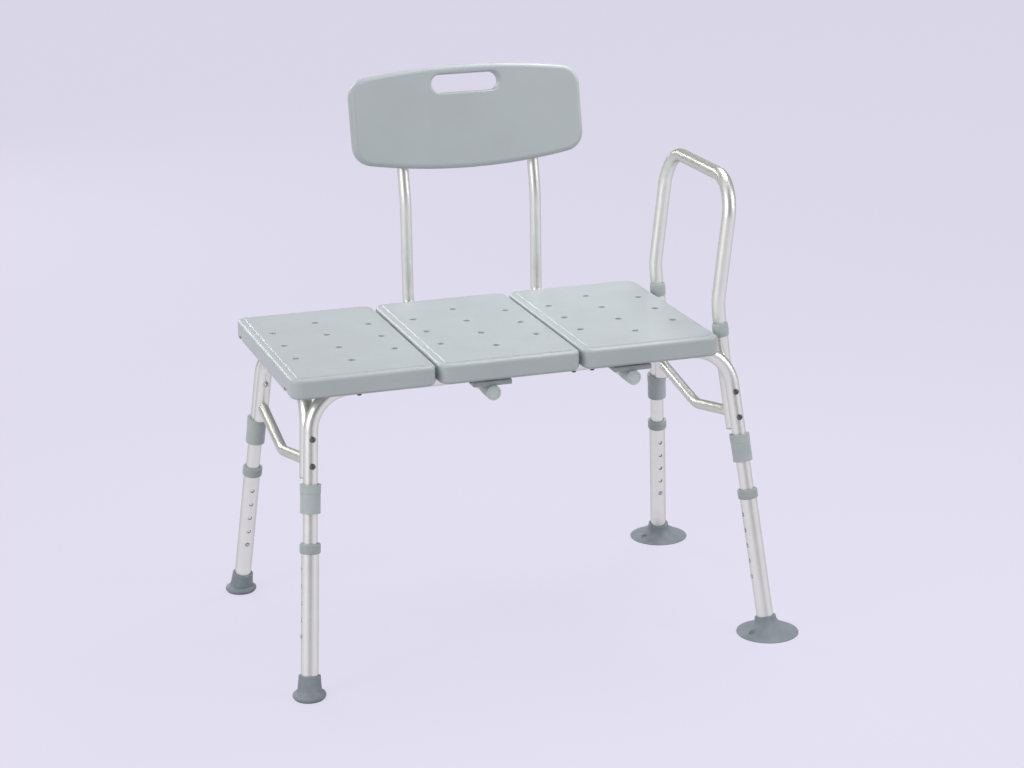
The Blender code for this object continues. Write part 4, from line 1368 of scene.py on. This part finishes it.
# Each soft lamp's place, width and power, all turned to the middle of the bench
LAMP_AIM = Vector((0, 0, 0.4))
SOFTBOXES = {
    "softbox_left": (Vector((-3.2, -1.2, 2.0)), 1.8, 38),
    "softbox_right": (Vector((2.8, -1.8, 2.0)), 1.5, 24),
    "softbox_top": (Vector((0.55, 0.35, 1.6)), 0.5, 7),
    "softbox_back": (Vector((-1.2, 3.6, 1.7)), 1.4, 31),
}

# The room: its even light, and how bright it is round the bench as metal mirrors it, in degrees from
# the camera and a level. The first two rows stand at the ends of the range.
AMBIENT = 0.62
STRIP_GAIN = 1.38
STUDIO_STRIPS = (
    (-180, 0.30),
    (180, 0.30),
    (-115, 0.30),
    (-80, 0.75),
    (-38, 0.70),
    (-12, 0.38),
    (4, 0.10),
    (24, 0.11),
    (44, 0.60),
    (85, 0.70),
    (120, 0.32),
)


def add_camera():
    flat = math.cos(CAMERA_PITCH)
    ahead = Vector((math.sin(CAMERA_YAW) * flat, math.cos(CAMERA_YAW) * flat, -math.sin(CAMERA_PITCH)))
    above = CAMERA_LEVEL.cross(ahead)
    right = math.cos(CAMERA_ROLL) * CAMERA_LEVEL + math.sin(CAMERA_ROLL) * above
    up = -math.sin(CAMERA_ROLL) * CAMERA_LEVEL + math.cos(CAMERA_ROLL) * above
    begin()
    bpy.ops.object.camera_add()
    camera = bpy.context.object
    camera.name = "camera"
    camera.matrix_world = Matrix.Translation(CAMERA_SPOT) @ Matrix((right, up, -ahead)).transposed().to_4x4()
    camera.data.lens = CAMERA_LENS
    camera.data.sensor_width = 36.0
    camera.data.clip_end = 100.0
    bpy.context.scene.camera = camera


def add_softbox(name, spot, size, power):
    begin()
    bpy.ops.object.light_add(type="AREA", location=spot)
    lamp = bpy.context.object
    lamp.name = name
    lamp.data.shape = "DISK"
    lamp.data.size = size
    lamp.data.energy = power
    lamp.rotation_euler = (LAMP_AIM - spot).to_track_quat("-Z", "Y").to_euler()


def stage_finish():
    """A pale floor that keeps the shadow for the camera and throws back little coloured light."""
    colour = bpy.context.scene.bench_colours.backdrop
    material = bpy.data.materials.new("floor_paint")
    material.use_nodes = True
    tree = material.node_tree
    path = add_node(tree, "LightPath").outputs
    seen = add_math(tree, "MAXIMUM", path["Is Camera Ray"], path["Is Glossy Ray"])
    place = add_node(tree, "TexCoord").outputs["Object"]
    away = add_node(tree, "SeparateXYZ", {"Vector": place}).outputs["Y"]
    # Painted light: the floor is paler towards the front
    painted_light_fade = add_mix(tree, add_range(tree, away, *FLOOR_FADE), (*shade(colour, FLOOR_NEAR_PAINTED_LIGHT), 1), (*colour, 1))
    paint = add_mix(tree, seen, (FLOOR_BOUNCE, FLOOR_BOUNCE, FLOOR_BOUNCE, 1), painted_light_fade)
    shader = tree.nodes["Principled BSDF"]
    feed(tree, shader, {"Base Color": paint, "Roughness": 0.9, "Specular IOR Level": 0.0})
    glow = add_node(tree, "Emission", {"Color": painted_light_fade}).outputs["Emission"]
    lit = mix_shaders(tree, add_math(tree, "MULTIPLY", seen, FLOOR_GLOW), shader.outputs["BSDF"], glow)
    behind = add_node(tree, "NewGeometry").outputs["Backfacing"]
    clear = add_node(tree, "BsdfTransparent").outputs["BSDF"]
    feed(tree, tree.nodes["Material Output"], {"Surface": mix_shaders(tree, behind, lit, clear)})
    return material


def room_strips(tree):
    """How bright the room is in each direction round the bench, for metal to mirror."""
    place = add_node(tree, "TexCoord").outputs["Generated"]
    towards = Vector((-math.sin(CAMERA_YAW), -math.cos(CAMERA_YAW), 0))
    parts = [
        add_node(tree, "VectorMath", {0: place, 1: axis}, operation="DOT_PRODUCT").outputs["Value"]
        for axis in (CAMERA_LEVEL, towards)
    ]
    turn = add_range(tree, add_math(tree, "ARCTAN2", *parts), -math.pi, math.pi)
    strips = add_node(tree, "ValToRGB", {"Fac": turn})
    ramp = strips.color_ramp
    ramp.interpolation = "EASE"
    for index, (angle, level) in enumerate(STUDIO_STRIPS):
        stop = ramp.elements[index] if index < 2 else ramp.elements.new((angle + 180) / 360)
        stop.color = (level, level, level, 1)
    return add_math(tree, "MULTIPLY", strips.outputs["Color"], STRIP_GAIN)


def set_world():
    """A pale studio: even light, the backdrop for the camera, and strip lights for metal to mirror."""
    colour = (*bpy.context.scene.bench_colours.backdrop, 1)
    world = bpy.data.worlds.new("studio")
    bpy.context.scene.world = world
    world.use_nodes = True
    tree = world.node_tree
    even = tree.nodes["Background"]
    feed(tree, even, {"Color": (1, 1, 1, 1), "Strength": AMBIENT})
    backdrop = add_node(tree, "Background", {"Color": colour}).outputs["Background"]
    strips = room_strips(tree)
    mirrored = add_node(tree, "Background", {"Color": colour, "Strength": strips}).outputs["Background"]
    path = add_node(tree, "LightPath").outputs
    unseen = mix_shaders(tree, path["Is Glossy Ray"], even.outputs["Background"], mirrored)
    shown = mix_shaders(tree, path["Is Camera Ray"], unseen, backdrop)
    feed(tree, tree.nodes["World Output"], {"Surface": shown})


class BENCH_OT_stage(bpy.types.Operator):
    """Adds the floor, the soft light and the camera"""

    bl_idname = "bench.stage"
    bl_label = "Floor, light and camera"

    def execute(self, context):
        begin()
        bpy.ops.mesh.primitive_plane_add(size=FLOOR_WIDTH, location=FLOOR_MIDDLE)
        bake_place()
        floor = bpy.context.object
        floor.name = "studio_floor"
        floor.data.materials.append(stage_finish())
        for name, (spot, size, power) in SOFTBOXES.items():
            add_softbox(name, spot, size, power)
        set_world()
        add_camera()
        context.scene.view_settings.view_transform = "Standard"
        return {"FINISHED"}


OPERATORS = [
    BENCH_OT_seat,
    BENCH_OT_frame,
    BENCH_OT_legs,
    BENCH_OT_sleeves,
    BENCH_OT_fasteners,
    BENCH_OT_buttons,
    BENCH_OT_plugs,
    BENCH_OT_arm,
    BENCH_OT_backrest,
    BENCH_OT_stage,
]


class BENCH_PT_sidebar(bpy.types.Panel):
    """Lists the bench's pieces, sizes and colours"""

    bl_idname = "BENCH_PT_sidebar"
    bl_label = "Tub transfer bench"
    bl_space_type = "VIEW_3D"
    bl_region_type = "UI"
    bl_category = "Bench"

    def draw(self, context):
        for group in (context.scene.bench_sizes, context.scene.bench_colours):
            box = self.layout.box()
            for name in group.bl_rna.properties.keys():
                if name not in ("rna_type", "name"):
                    box.prop(group, name)
        for operator in OPERATORS:
            self.layout.operator(operator.bl_idname)


CLASSES = [BenchSizes, BenchColours, *OPERATORS, BENCH_PT_sidebar]


def register():
    for cls in CLASSES:
        bpy.utils.register_class(cls)
    bpy.types.Scene.bench_sizes = PointerProperty(type=BenchSizes)
    bpy.types.Scene.bench_colours = PointerProperty(type=BenchColours)


def unregister():
    del bpy.types.Scene.bench_colours
    del bpy.types.Scene.bench_sizes
    for cls in reversed(CLASSES):
        bpy.utils.unregister_class(cls)


def main():
    register()
    bpy.ops.bench.seat()
    bpy.ops.bench.frame()
    bpy.ops.bench.legs()
    bpy.ops.bench.sleeves()
    bpy.ops.bench.fasteners()
    bpy.ops.bench.buttons()
    bpy.ops.bench.plugs()
    bpy.ops.bench.arm()
    bpy.ops.bench.backrest()
    bpy.ops.bench.stage()


if __name__ == "__main__":
    main()
